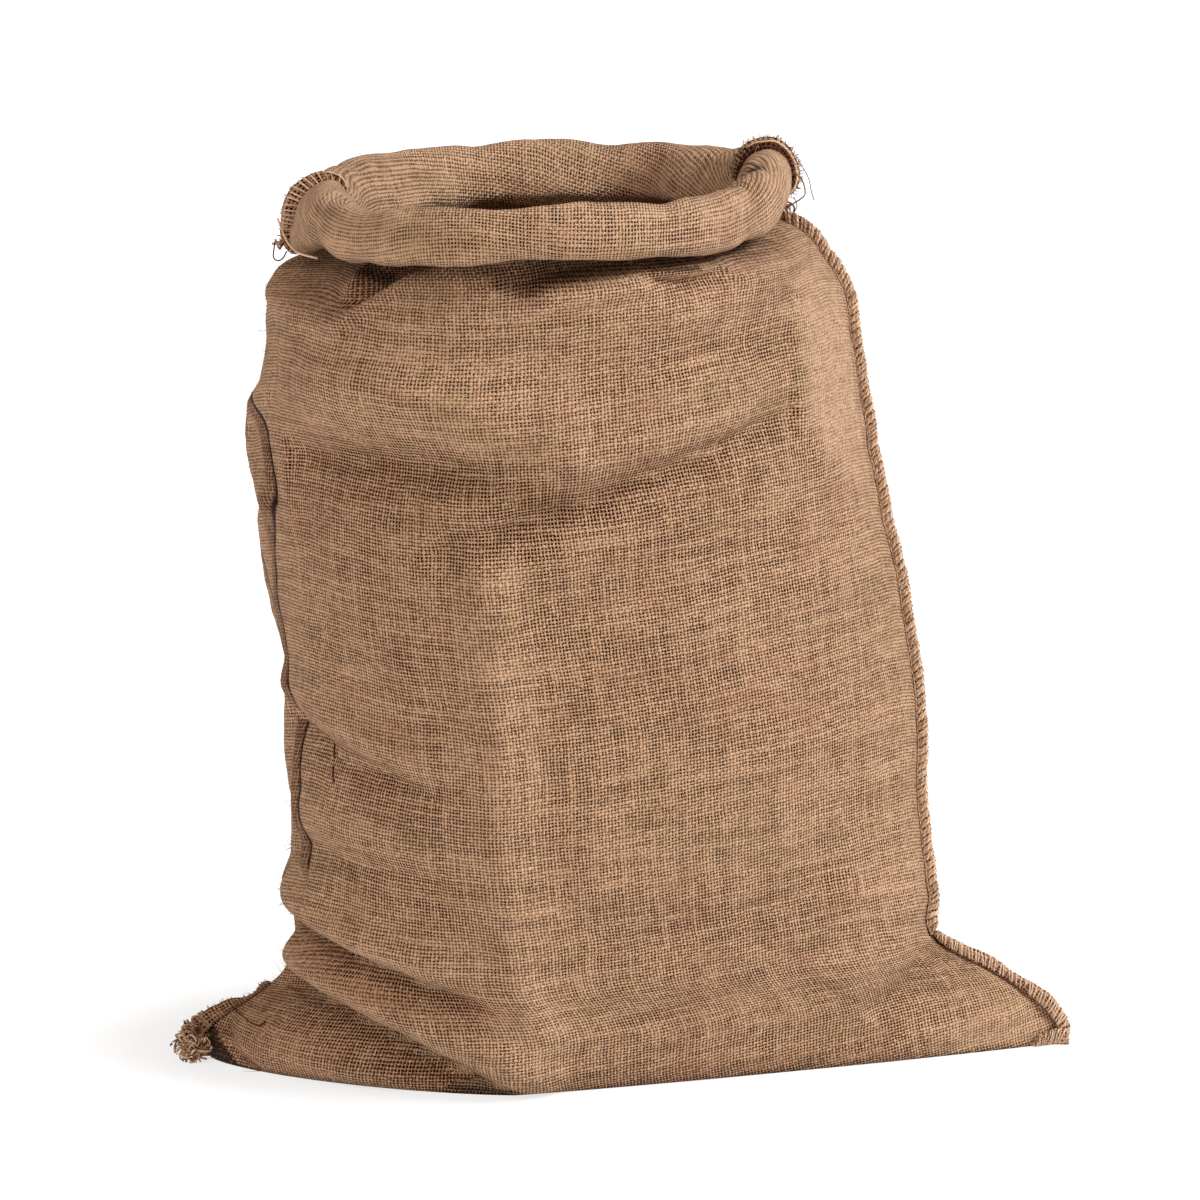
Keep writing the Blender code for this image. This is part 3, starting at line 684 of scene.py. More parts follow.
# %% Folds of the cloth, in millimetres
FOLD_COLUMNS = ("start", "middle", "end", "width", "depth", "lip")
FOLDS = (
    # the two large folds across the front, and the blunt edge down its middle
    ((0.070, 418), (0.177, 424), (0.262, 404), 19, 18, 10),
    ((0.175, 366), (0.281, 407), (0.405, 452), 11, 15, 8),
    ((0.216, 430), (0.202, 190), (0.194, -70), 20, -9, 0),
    ((0.060, 470), (0.150, 480), (0.235, 462), 34, -8, 0),
    ((0.100, 484), (0.183, 466), (0.250, 425), 14, -4, 0),
    ((0.255, 462), (0.337, 489), (0.420, 498), 15, 5, 2),
    ((0.235, 444), (0.300, 469), (0.380, 488), 14, -5, 0),
    ((0.225, 330), (0.300, 352), (0.400, 380), 18, 3, 2),
    ((0.235, 130), (0.320, 118), (0.420, 138), 24, 4, 2),
    # the upright edge near the right side, with a flat beside it
    ((0.407, 522), (0.4095, 475), (0.403, 430), 9, -3, 0),
    ((0.456, 540), (0.452, 470), (0.440, 400), 20, 4, 0),
    ((0.402, 528), (0.412, 524), (0.422, 520), 5, 4, 0),
    ((0.424, 526), (0.433, 523), (0.442, 521), 5, 3, 0),
    # creases low on the left, where the cloth sinks towards the ear
    ((0.020, 241), (0.096, 225), (0.175, 208), 10, 11, 6),
    ((0.025, 153), (0.101, 156), (0.165, 150), 10, 7, 4),
    ((-0.020, 94), (0.079, 87), (0.180, 64), 9, 17, 9),
    ((-0.030, 57), (0.096, 41), (0.206, -12), 9, 24, 12),
    ((0.040, 30), (0.085, 17), (0.150, -2), 11, -7, 0),
    # the slack end of the left ear, and the crease above the right ear
    ((0.000, 30), (0.022, 15), (0.044, 0), 8, 9, 0),
    ((0.395, 36), (0.446, 53), (0.500, 68), 11, 11, 5),
    ((0.420, 14), (0.452, 22), (0.490, 26), 9, -4, 0),
    # the back panel swells past the left seam
    ((0.050, 455), (-0.004, 420), (0.050, 378), 11, -9, 0),
    ((0.050, 386), (-0.008, 330), (0.000, 246), 11, -6, 0),
    ((0.036, 262), (0.004, 222), (0.014, 180), 10, -5, 0),
    # the lip of cloth that curls out under the cuff, and smaller rolls beside it
    ((0.316, 549), (0.345, 545), (0.384, 550), 5, -8, 0),
    ((0.308, 541), (0.345, 538), (0.372, 544), 5, 11, 0),
    ((0.092, 546), (0.104, 533), (0.119, 519), 7, -7, 0),
    ((0.140, 505), (0.188, 520), (0.240, 512), 13, -4, 0),
    ((0.300, 520), (0.370, 524), (0.440, 532), 12, -5, 0),
    # the back
    ((0.540, 436), (0.660, 405), (0.780, 422), 18, 14, 8),
    ((0.680, 334), (0.800, 300), (0.920, 328), 15, 13, 8),
    ((0.530, 256), (0.630, 228), (0.720, 240), 13, 10, 6),
    ((0.760, 190), (0.870, 152), (0.985, 172), 13, 13, 7),
    ((0.515, 122), (0.620, 84), (0.725, 56), 12, 14, 8),
    ((0.810, 48), (0.920, 72), (1.005, 100), 12, 14, 8),
    ((0.740, 440), (0.745, 210), (0.750, -60), 26, -8, 0),
)
print(len(FOLDS), "folds")

# %% How deep the folds are
FOLD_STEPS = 13  # points along the curved line of a fold
LIP_ABOVE = 2.1  # how far above a crease its lip stands, in half widths
LIP_BREADTH = 1.4
CREASE_ROUND = 0.3  # how round the bottom of a crease is, in half widths
CREASE_FALL = 0.8  # over how many half widths its sides rise
CREASE_ABOVE, CREASE_BELOW = 0.75, 1.35  # it is steep above and gentle below


def fold_line(start, middle, end):
    """Points of the curve that runs through the three points of a fold."""
    t = np.linspace(0.0, 1.0, FOLD_STEPS)
    bend = 2 * middle - (start + end) / 2
    return (np.outer((1 - t) ** 2, start) + np.outer(2 * t * (1 - t), bend)
            + np.outer(t**2, end))


def beside_line(line, way, height):
    """How far each point is from a line, how far above it, and how far along it, from 0 to 1."""
    shape = np.broadcast(way, height).shape
    nearest = np.full(shape, np.inf)
    above, run = np.zeros(shape), np.zeros(shape)
    for k, (a, b) in enumerate(zip(line[:-1], line[1:])):
        step = b - a
        offset_s = (way * GIRTH - a[0] + GIRTH / 2) % GIRTH - GIRTH / 2
        offset_z = height - a[1]
        share = np.clip((offset_s * step[0] + offset_z * step[1]) / (step @ step), 0, 1)
        off_s, off_z = offset_s - share * step[0], offset_z - share * step[1]
        distance = np.hypot(off_s, off_z)
        closer = distance < nearest
        side = np.sign(step[0]) * (step[0] * off_z - step[1] * off_s)
        above = np.where(closer, distance * np.sign(side), above)
        run = np.where(closer, (k + share) / (FOLD_STEPS - 1), run)
        nearest = np.where(closer, distance, nearest)
    return nearest, above, run


def fold_depth(way, height):
    """How far inward the folds take the cloth, at each way round and height."""
    total = np.zeros(np.broadcast(way, height).shape)
    for fold in FOLDS:
        row = dict(zip(FOLD_COLUMNS, fold))
        ends = (np.array(row[name]) * (GIRTH, 1) for name in FOLD_COLUMNS[:3])
        nearest, above, run = beside_line(fold_line(*ends), way, height)
        width = row["width"]
        dying = np.sqrt(4 * run * (1 - run))
        if row["depth"] > 0:
            spread = width * np.where(above > 0, CREASE_ABOVE, CREASE_BELOW)
            from_bottom = np.hypot(nearest / spread, CREASE_ROUND)
            shape = np.exp((CREASE_ROUND - from_bottom) / CREASE_FALL)
        else:
            shape = np.exp(-(nearest / width) ** 2)
        from_lip = above / (LIP_BREADTH * width) - LIP_ABOVE / LIP_BREADTH
        total += dying * (row["depth"] * shape - row["lip"] * np.exp(-from_lip ** 2))
    return total


print("at the front, 400 mm up:", fold_depth(0.25, np.array([400.0])).round(1), "mm")

# %% [markdown]
# ## Lumps
#
# Between its folds the cloth is never smooth: potatoes press out through it, and it has
# dried into small waves.  A sum of smooth noise gives both.  Blender's own noise is used
# rather than random numbers, so that the same place always gets the same lump.

# %% Lumps and waves
def lumps(points, size, seed):
    """Smooth noise from -1 to 1 at points in millimetres, with lumps of a size."""
    flat = points.reshape(-1, 3) / size + (seed, 2.0 * seed, -seed)
    values = [noise.noise(Vector(point)) for point in flat]
    return np.array(values).reshape(points.shape[:-1])


def relief(points, sizes):
    """Lumps of several sizes together; each is a size, a place in the noise and a height."""
    return sum(high * lumps(points, size, seed) for size, seed, high in sizes)


print("a lump at the origin:", lumps(np.zeros((1, 3)), 70.0, 1.0).round(3))

# %% [markdown]
# ## Drawn in under the cuff
#
# The mouth is gathered into its roll, so just below the cuff the cloth turns in, deeper in
# some places than in others, and hangs in a soft roll of slack under that hollow.  More
# folds could be laid there, but a hollow that runs all the way round is plainer as one
# table, of how far below the neck it begins and how deep it is.

# %% The hollow under the cuff
WAIST_COLUMNS = ("way", "drop", "depth")
WAIST = (
    (0.000, 26, 12), (0.035, 31, 15), (0.062, 30, 18), (0.085, 30, 13), (0.108, 30, 9),
    (0.126, 28, 20), (0.139, 18, 21), (0.152, 9, 18), (0.172, 4, 8), (0.205, 4, 5),
    (0.222, 18, 6), (0.236, 25, 11), (0.252, 18, 20), (0.275, 14, 21), (0.302, 11, 18),
    (0.330, 9, 13), (0.350, 10, 9), (0.375, 11, 14), (0.407, 12, 17), (0.446, 12, 14),
    (0.478, 14, 8), (0.500, 16, 4), (0.560, 18, 13), (0.620, 13, 18), (0.665, 10, 8),
    (0.715, 20, 17), (0.760, 15, 19), (0.800, 9, 8), (0.855, 22, 15), (0.905, 17, 18),
    (0.955, 26, 12),
)
WAIST_EDGE = (-2.0, 6.5)  # over which heights the cloth turns in, from where it begins
WAIST_ROLL = (0.42, 7.0, 8.0)  # the roll below: height in depths, how far down, half width


def waist(height, neck):
    """How far the cloth is drawn in below the neck, with a soft roll under that."""
    row = dict(zip(WAIST_COLUMNS[1:], ring_table_at(WAIST, ways).T))
    over = height - (neck - row["drop"])
    turned = smoothstep(*WAIST_EDGE, over)
    share, down, width = WAIST_ROLL
    return row["depth"] * (turned - share * np.exp(-((over + down) / width) ** 2))


print("the hollow is up to", max(row[2] for row in WAIST), "mm deep")

# %% [markdown]
# ## Rows of the wall
#
# The wall is a grid of points: columns run up the cloth, and rows run round it.  The rows
# stand close together where the cloth is creased, at the foot and under the cuff.  An even
# grid that is fine enough for the creases would need half as many faces again.

# %% The wall before its folds
NECK = 550.0  # height of the last row, from which the roll goes on
SHOULDER = 480.0  # from here up the rows bend to follow the rim
CUFF_RISE = 33.0  # how far the rim of the roll stands above the neck
WALL_SPANS = (
    # from, to, rows
    (0, 20, 8), (20, 110, 42), (110, 360, 62), (360, 480, 38), (480, 550, 38),
)
spans = [np.linspace(low, high, rows, endpoint=False) for low, high, rows in WALL_SPANS]
wall = np.concatenate([*spans, [NECK]])
WALL_ROWS = len(wall)
neck_height = ring_table_at(RIM, ways)[:, 0] - CUFF_RISE


def wall_row(height):
    """One row of the outer and the inner face, and how far it is from its panel's middle."""
    above = max(0.0, height - SHOULDER) / (NECK - SHOULDER)
    level = height if above == 0 else SHOULDER + above * (neck_height - SHOULDER)
    level = np.broadcast_to(level, len(ways))
    section, from_middle = level_section(height, 0.0)
    return (np.column_stack([section, level]),
            np.column_stack([level_section(height, CLOTH)[0], level]), from_middle)


outer_wall, inner_wall, across_wall = map(np.array, zip(*map(wall_row, wall)))
rises = np.linalg.norm(np.diff(outer_wall, axis=0), axis=-1)
up_wall = np.concatenate([np.zeros((1, len(ways))), np.cumsum(rises, axis=0)])
neck_out = outward(outer_wall[-1, :, :2])
print("wall:", outer_wall.shape[0], "rows,", round(float(up_wall[-1].max())), "mm up the cloth")

# %% [markdown]
# ## The left seam's line and the chain stitches
#
# On the left the allowance of the side seam is inside, so outside there is only a sunk line
# where one panel goes under the other, with a soft welt behind it.  On the right a row of
# chain stitches runs in front of the seam, high up.  Both lines are thinner than a cell of
# the grid, so the mesh only has the groove and the welt.  The material paints the dark lines
# itself: on the left painted shade in the groove, with a painted shadow beside it, and on the
# right the chain stitches, from a number at each point that tells how far off the line is.

# %% The lines beside the seams
LEFT_SEAM = (
    # the height, and the way round of the seam there
    (110, 0.050), (150, 0.048), (190, 0.046), (230, 0.041), (260, 0.037), (290, 0.030),
    (320, 0.027), (345, 0.031), (360, 0.038), (375, 0.047), (393, 0.054), (411, 0.050),
    (426, 0.041), (446, 0.022), (462, 0.009), (490, 0.004), (510, 0.006), (528, 0.020),
    (546, 0.036),
)
SEAM_SHOWN = (118, 140, 500, 548)  # the heights over which it comes in, and over which it goes
SEAM_SINK = (1.8, 3.0)  # how deep the seam sinks in, and the half width of its groove
SEAM_WELT = (2.2, 8.5, 5.5)  # the welt behind it: how high, how far off, its half width
SEAM_RELIEF = (0.016, 0.046)  # how far round the seam has to be for its relief to show
SEAM_DRAWN = (0.000, 0.010)  # and for its line
FAR_OFF = 60.0  # millimetres from a seam that count as nowhere near
CHAIN_INSET = 21.0  # how far in front of the right seam its chain stitches run
CHAIN_SHOWN = (330, 400, 505, 535)
CHAIN_THIN = 1.7  # how much thinner their line is than the left seam's
CHAIN_SWAY = (2.0, 17.0)  # how far it sways, and over what height


def away_from(off, gone):
    """Distances from a line, which grow past FAR_OFF where the line is gone."""
    return off + np.where(off < 0, -1.0, 1.0) * FAR_OFF * gone


def seam_line(height):
    """How far the left seam takes the cloth in, and how far each point is from a seam's line."""
    seam_way = table_at(LEFT_SEAM, height)[..., 0]
    # measured square to the line, where the seam runs aslant
    lean = np.gradient(table_at(LEFT_SEAM, wall)[:, 0] * GIRTH, wall)
    off = round_from(seam_way) / np.hypot(1.0, lean)[:, None]
    shown = within(SEAM_SHOWN, height)
    groove = SEAM_SINK[0] * np.exp(-(off / SEAM_SINK[1]) ** 2)
    welt = SEAM_WELT[0] * np.exp(-((off + SEAM_WELT[1]) / SEAM_WELT[2]) ** 2)
    sunk = shown * smoothstep(*SEAM_RELIEF, seam_way) * (groove - welt)
    beside = away_from(off, 1 - shown * smoothstep(*SEAM_DRAWN, seam_way))
    # nearer the right side it tells how far the row of chain stitches there is
    sway = CHAIN_SWAY[0] * np.sin(height / CHAIN_SWAY[1])
    chain = CHAIN_THIN * ((ways[None, :] - 0.5) * GIRTH + CHAIN_INSET + sway)
    chain = away_from(chain, 1 - within(CHAIN_SHOWN, height))
    beside = np.where(abs(ways[None, :] - 0.5) < 0.25, chain, beside)
    return sunk, np.clip(beside, -FAR_OFF, FAR_OFF)


print("the left seam runs from", LEFT_SEAM[0][0], "to", LEFT_SEAM[-1][0], "mm up")

# %% [markdown]
# ## Dark creases, slits and stains
#
# Where cloth folds back on itself no light gets in, and the foot turns under into its own
# shade.  Such slits could be cut into the mesh, but they are a few millimetres wide and a
# shell that crosses itself there is hard to mend.  So each one is a short stroke between
# two points, and the material darkens the cloth along it.

# %% Strokes, the hollow and the foot
STROKES = (
    # short dark creases and slits: both ends by way round and height, half width, strength
    ((0.012, 45), (0.024, 36), 3.0, 1.8), ((0.012, 51), (0.038, 47), 3.4, 1.9),
    ((0.038, 47), (0.064, 43), 3.6, 1.8), ((0.064, 43), (0.088, 39), 3.6, 1.7),
    ((0.088, 39), (0.122, 28), 3.4, 1.6), ((0.4985, 76), (0.5005, 66), 4.0, 2.6),
    # shade under the cuff, and two stains on the shoulder
    ((0.006, 531), (0.036, 535), 7.0, 1.6), ((0.036, 535), (0.080, 527), 7.0, 1.6),
    ((0.103, 539), (0.124, 533), 7.5, 2.0), ((0.246, 541), (0.295, 547), 4.0, 1.8),
    ((0.318, 546), (0.352, 545), 3.4, 2.0), ((0.395, 549), (0.446, 553), 4.5, 1.9),
    ((0.410, 525), (0.414, 523), 7.0, 1.7), ((0.430, 524), (0.434, 522), 7.0, 1.7),
)
HOLLOW = ((0, 0.027), (12, 0.019), (18, 0.009), (22, 0.000))  # painted shade in the hollow of the left ear: the height, and its right edge
HOLLOW_EDGE = (-1.0, 1.5)
HOLLOW_DARK = 2.3
FOOT_SHADE = (0.0, 9.0, 1.85)  # the cloth turns under, over these heights, and how dark


def dark_marks(height):
    """How much darker the strokes, the hollow in the left ear and the foot are."""
    total = FOOT_SHADE[2] * (1 - smoothstep(*FOOT_SHADE[:2], height))
    for start, stop, half, strength in STROKES:
        start, stop = np.array(start) * (GIRTH, 1), np.array(stop) * (GIRTH, 1)
        step = stop - start
        place = np.stack([np.broadcast_to(ways * GIRTH, height.shape), height], axis=-1)
        off = place - start
        share = np.clip(off @ step / (step @ step), 0, 1)[..., None]
        distance = np.linalg.norm(off - share * step, axis=-1)
        total = np.maximum(total, strength * np.exp(-(distance / half) ** 2))
    edge = table_at(HOLLOW, height)[..., 0]
    inside = smoothstep(*HOLLOW_EDGE, (edge - ways[None, :]) * GIRTH) * (height < HOLLOW[-1][0])
    return np.maximum(total, HOLLOW_DARK * inside)


print(len(STROKES), "strokes")

# %% [markdown]
# ## The wall with its folds
#
# Everything that moves the cloth is added up to one depth, which moves both faces the same
# way, so the cloth keeps its thickness.  In the two ears they lie close together, so there
# the depth is held back to a share of the room between them.  A displacement modifier would
# move each face by itself.  The depth also tells how worn the cloth is, crests being rubbed,
# and how much painted shade its creases get.

# %% Both faces of the wall
WALL_LUMPS = ((78.0, 3.0, 3.2), (31.0, 5.0, 1.5), (12.0, 8.0, 0.6))
FOOT_FADE = 4.0  # height over which everything fades out at the ground
EAR_SHARE = 0.6  # how much of its half depth a fold may take from an ear
WEAR_AND_SHADE_DEPTH = 9.0  # how deep a crease is whose mark counts as -1, as full painted shade; ridges count as worn
CREST_WORN = 0.22  # how worn the highest crests are
MARK_DARKENING = 1.5  # how far down the middle of a stroke of strength 1 takes the mark, into painted shade, or a stain


def folded(outer, inner):
    """Moves both faces; gives their depth, their wear with painted shade in creases and strokes,
    and their distance from a seam's line.
    """
    height = outer[..., 2]
    depth = fold_depth(ways[None, :], height) + waist(height, neck_height)
    worn_and_shaded = np.clip(-depth / WEAR_AND_SHADE_DEPTH, -1.0, CREST_WORN)
    worn_and_shaded = np.minimum(worn_and_shaded, 1 - MARK_DARKENING * dark_marks(height))
    sunk, beside = seam_line(height)
    depth += sunk
    depth -= relief(outer, WALL_LUMPS)
    depth *= smoothstep(0, FOOT_FADE, height)
    half_depth = np.abs(outer[..., 1] - outer[:, :1, 1])
    depth = np.minimum(depth, EAR_SHARE * half_depth + CLOTH)
    direction = outward(outer[..., :2])
    for face in (outer, inner):
        face[..., :2] -= direction * depth[..., None]
    inner[..., 2] = np.maximum(inner[..., 2], CLOTH)
    return depth, worn_and_shaded, beside


depth, wall_wear_and_shade, beside_seam = folded(outer_wall, inner_wall)
print("folds from", depth.min().round(1), "to", depth.max().round(1), "mm deep")

# %% [markdown]
# ## The rolled cuff
#
# The mouth is rolled outward, so the inside of the cloth is the outside of the roll.  Its
# profile is one curve in an upright plane, out from the neck, up, over and down, and it is
# fuller at the left end, where the hem fans out.  A ring bent round the rim would be as even
# as a tyre, so the profile is a table that swells and pinches change on the way round.

# %% The profile of the roll
CUFF_COLUMNS = ("out", "up", "fan_out", "fan_up")
# Out from the neck and up, in millimetres, and the same at the left end
CUFF = (
    (0, 10, 0, 12), (1, 19, 0, 24), (4, 27, 1, 31), (10, 31, 5, 34), (17, 32, 13, 33),
    (24, 28, 22, 28), (28, 21, 30, 19), (29, 12, 34, 7), (27, 5, 34, -4), (22, 1, 28, -9),
    (15, 0, 19, -8), (9, 2, 12, -4), (7, 8, 9, 4), (10, 13, 11, 10), (14, 15, 15, 13),
)
# The way round, and how full the roll is there
SWELL = (
    (0.00, 1.00), (0.07, 0.92), (0.13, 0.98), (0.20, 1.03), (0.27, 0.96), (0.34, 1.03),
    (0.42, 1.02), (0.50, 0.97), (0.57, 1.05), (0.66, 0.96), (0.75, 1.06), (0.83, 0.96),
    (0.91, 1.04),
)
CUFF_CELLS = 3  # rows for each step of the cuff's table
FAN_REACH = 0.055  # how far round from the left seam the fuller profile reaches
FAN_ROWS = (21.0, 28.0)  # rows of the roll over which its hem comes
HEM_DROP = 7.0  # how far the hem hangs down there
FAN_SHRINK = 0.23  # the band of cut edges takes some of the fan's room
cuff_at = np.arange(1, len(CUFF) * CUFF_CELLS + 1) / CUFF_CELLS - 1


def roll_profile():
    """How far out and up each point of the roll is from the neck."""
    knots = np.column_stack([np.arange(-1, len(CUFF)), np.vstack([(0, 0, 0, 0), CUFF])])
    roll = dict(zip(CUFF_COLUMNS, table_at(knots, cuff_at).T[..., None]))
    fan = np.exp(-(np.minimum(ways, 1 - ways) / FAN_REACH) ** 2)
    out = roll["out"] + fan * (roll["fan_out"] - roll["out"])
    up = roll["up"] + fan * (roll["fan_up"] - roll["up"])
    hem = smoothstep(*FAN_ROWS, cuff_at * CUFF_CELLS)[:, None]
    room = 1 - FAN_SHRINK * fan * (1 - hem)
    out, up = out * room, up * room - HEM_DROP * fan * hem
    swell = ring_table_at(SWELL, ways)[:, 0]
    return out * swell, CUFF_RISE + (up - CUFF_RISE) * swell


out, up = roll_profile()
slope_out = np.gradient(np.vstack([0 * out[:1], out]), axis=0)[1:]
slope_up = np.gradient(np.vstack([0 * up[:1], up]), axis=0)[1:]
roll_steps = np.hypot(slope_out, slope_up)
print("the roll takes up to", roll_steps.sum(axis=0).max().round(), "mm of cloth")

# %% Pinches in the roll
CUFF_PINCHES = (
    # the way round, half width and depth of a pinch across the roll, and its slant
    (0.075, 14, 3.0, -20), (0.130, 18, 2.2, 12), (0.235, 22, 2.6, 26), (0.330, 16, 2.6, -18),
    (0.405, 14, 3.0, -24), (0.455, 10, 2.4, -10), (0.600, 16, 3.0, 15), (0.700, 20, 3.0, -20),
    (0.800, 16, 2.6, 18), (0.930, 14, 3.0, 12),
)
CUFF_GROOVE = (3.0, 3.0)  # depth and half width of the groove on both sides of a seam


def roll_pinches(share):
    """How far the pinches take the roll in, where share is 0 at the neck and 1 at its end."""
    total = np.zeros((len(share), len(ways)))
    for way, width, deep, slant in CUFF_PINCHES:
        off = round_from(way) - slant * (share[:, None] - 0.5)
        total += deep * np.exp(-(off / width) ** 2)
    for way in (0.0, 0.5, 1.0):
        total += CUFF_GROOVE[0] * np.exp(-((ways[None, :] - way) * GIRTH / CUFF_GROOVE[1]) ** 2)
    return total * np.sin(np.pi * share[:, None]) ** 0.5


print(len(CUFF_PINCHES), "pinches")

# %% Both faces of the roll
ROLL_LUMPS = ((60.0, 10.0, 2.0), (27.0, 11.0, 1.5), (11.0, 12.0, 0.6))
CUFF_CATCH = 3.0  # the row of the table by which the roll is clear of the folds below


def roll_face(inset):
    """The rows of one face of the roll, in upright planes that stand on the neck."""
    o = out - inset * slope_up / roll_steps
    u = up + inset * slope_out / roll_steps
    drawn_in = depth[-1] * smoothstep(-1.0, CUFF_CATCH, cuff_at)[:, None]
    level = outer_wall[-1, :, :2] + neck_out * (o + drawn_in)[..., None]
    return np.concatenate([level, (outer_wall[-1, :, 2] + u)[..., None]], axis=-1)


plain_roll = roll_face(0.0)
bulge = relief(plain_roll, ROLL_LUMPS) - roll_pinches((cuff_at + 1) / len(CUFF))
# the inner face of the cloth is the outside of the roll, so a bulge goes towards it
into_roll = plain_roll - roll_face(1.0)
into_roll /= np.linalg.norm(into_roll, axis=-1, keepdims=True)
outer_roll = plain_roll - into_roll * bulge[..., None]
inner_roll = roll_face(CLOTH) - into_roll * bulge[..., None]
print("bulges from", bulge.min().round(1), "to", bulge.max().round(1), "mm")

# %% How worn and shaded the roll is
CUFF_PLEAT_SHADE = (0.455, 8.5, 14.0, 3.5, 1.9)  # painted shade in a pleat: its way round and row, half sizes and strength
CUFF_GAP_RIGHT = (7.0, 3.0)  # the shade beside a seam's fin: half width and strength
CUFF_GAP_LEFT = (5.0, 1.2)
BULGE_WEAR_AND_SHADE = 5.0  # how high a bulge is that counts as fully worn, and how deep a pinch that gets full painted shade


def roll_wear_and_shade():
    """How worn and shaded the roll is: bulges are rubbed, pinches get painted shade, and so do
    the gaps by the seams and a pleat.
    """
    half, strength = CUFF_GAP_RIGHT
    gap = strength * np.exp(-((ways - 0.5) * GIRTH / half) ** 2)
    half, strength = CUFF_GAP_LEFT
    gap += strength * np.exp(-(np.minimum(ways, 1 - ways) * GIRTH / half) ** 2)
    way, row, wide, tall, strength = CUFF_PLEAT_SHADE
    off = np.hypot((ways[None, :] - way) * GIRTH / wide,
                   (cuff_at * CUFF_CELLS - row)[:, None] / tall)
    gap = gap[None, :] + strength * np.exp(-off**2)
    return np.clip(bulge / BULGE_WEAR_AND_SHADE, -1.0, 1.0) - gap


# the neck is gathered, so the roll has more cloth in it
girth = np.linalg.norm(np.diff(inner_roll, axis=1), axis=-1).sum(axis=1)
across_roll = across_wall[-1:] * (girth / girth[0])[:, None]
up_roll = up_wall[-1] + np.cumsum(roll_steps, axis=0)

outer = np.concatenate([outer_wall, outer_roll])
inner = np.concatenate([inner_wall, inner_roll])
across = np.concatenate([across_wall, across_roll])
up_cloth = np.concatenate([up_wall, up_roll])
worn_and_shaded = np.concatenate([wall_wear_and_shade, roll_wear_and_shade()])
print("grid", outer.shape[:2], "longest column", round(float(up_cloth[-1].max())), "mm")

# %% [markdown]
# ## Making meshes from rows of points
#
# Cloth, twine and cut ends are all nets of four-sided faces, so one small class collects
# them: a net is rows of points, and a tube is a net that follows a path.  Each face corner
# also gets its place on the flat cloth, or along the twine, for the materials above.

# %% Points and corners
MIDDLE = (1.2, 0.7)  # where the frame's origin is in the tables, in millimetres


def metres(points):
    """Points of the tables, in millimetres, in Blender's metres round the sack's middle."""
    return (np.asarray(points, dtype=float) - (*MIDDLE, 0.0)) * MM


def unit(vectors):
    return vectors / np.maximum(np.linalg.norm(vectors, axis=-1, keepdims=True), 1e-9)


def corners(here, right):
    """The four corners of each cell of a net, from its points and their right neighbours."""
    return np.stack([here[:-1], right[:-1], right[1:], here[1:]], axis=2)


def level_corners(rows):
    """Level x and y of each cell's corners, in metres, for a closed net."""
    level = rows[..., :2]
    return (corners(level, np.roll(level, -1, axis=1)) * MM).reshape(-1, 4, 2)


# %% A piece made of nets and tubes
WEAVE, TWINE = 0, 1  # the material slots of a piece
ON_YARN = YARN_PITCH / 2  # a place on the map where two yarns cross, for cut edges
TUBE_SHIFT = 0.37  # metres on the map from one tube to the next, so none look alike
STEEP = 0.9  # how steep a path has to be to be guided by a level line


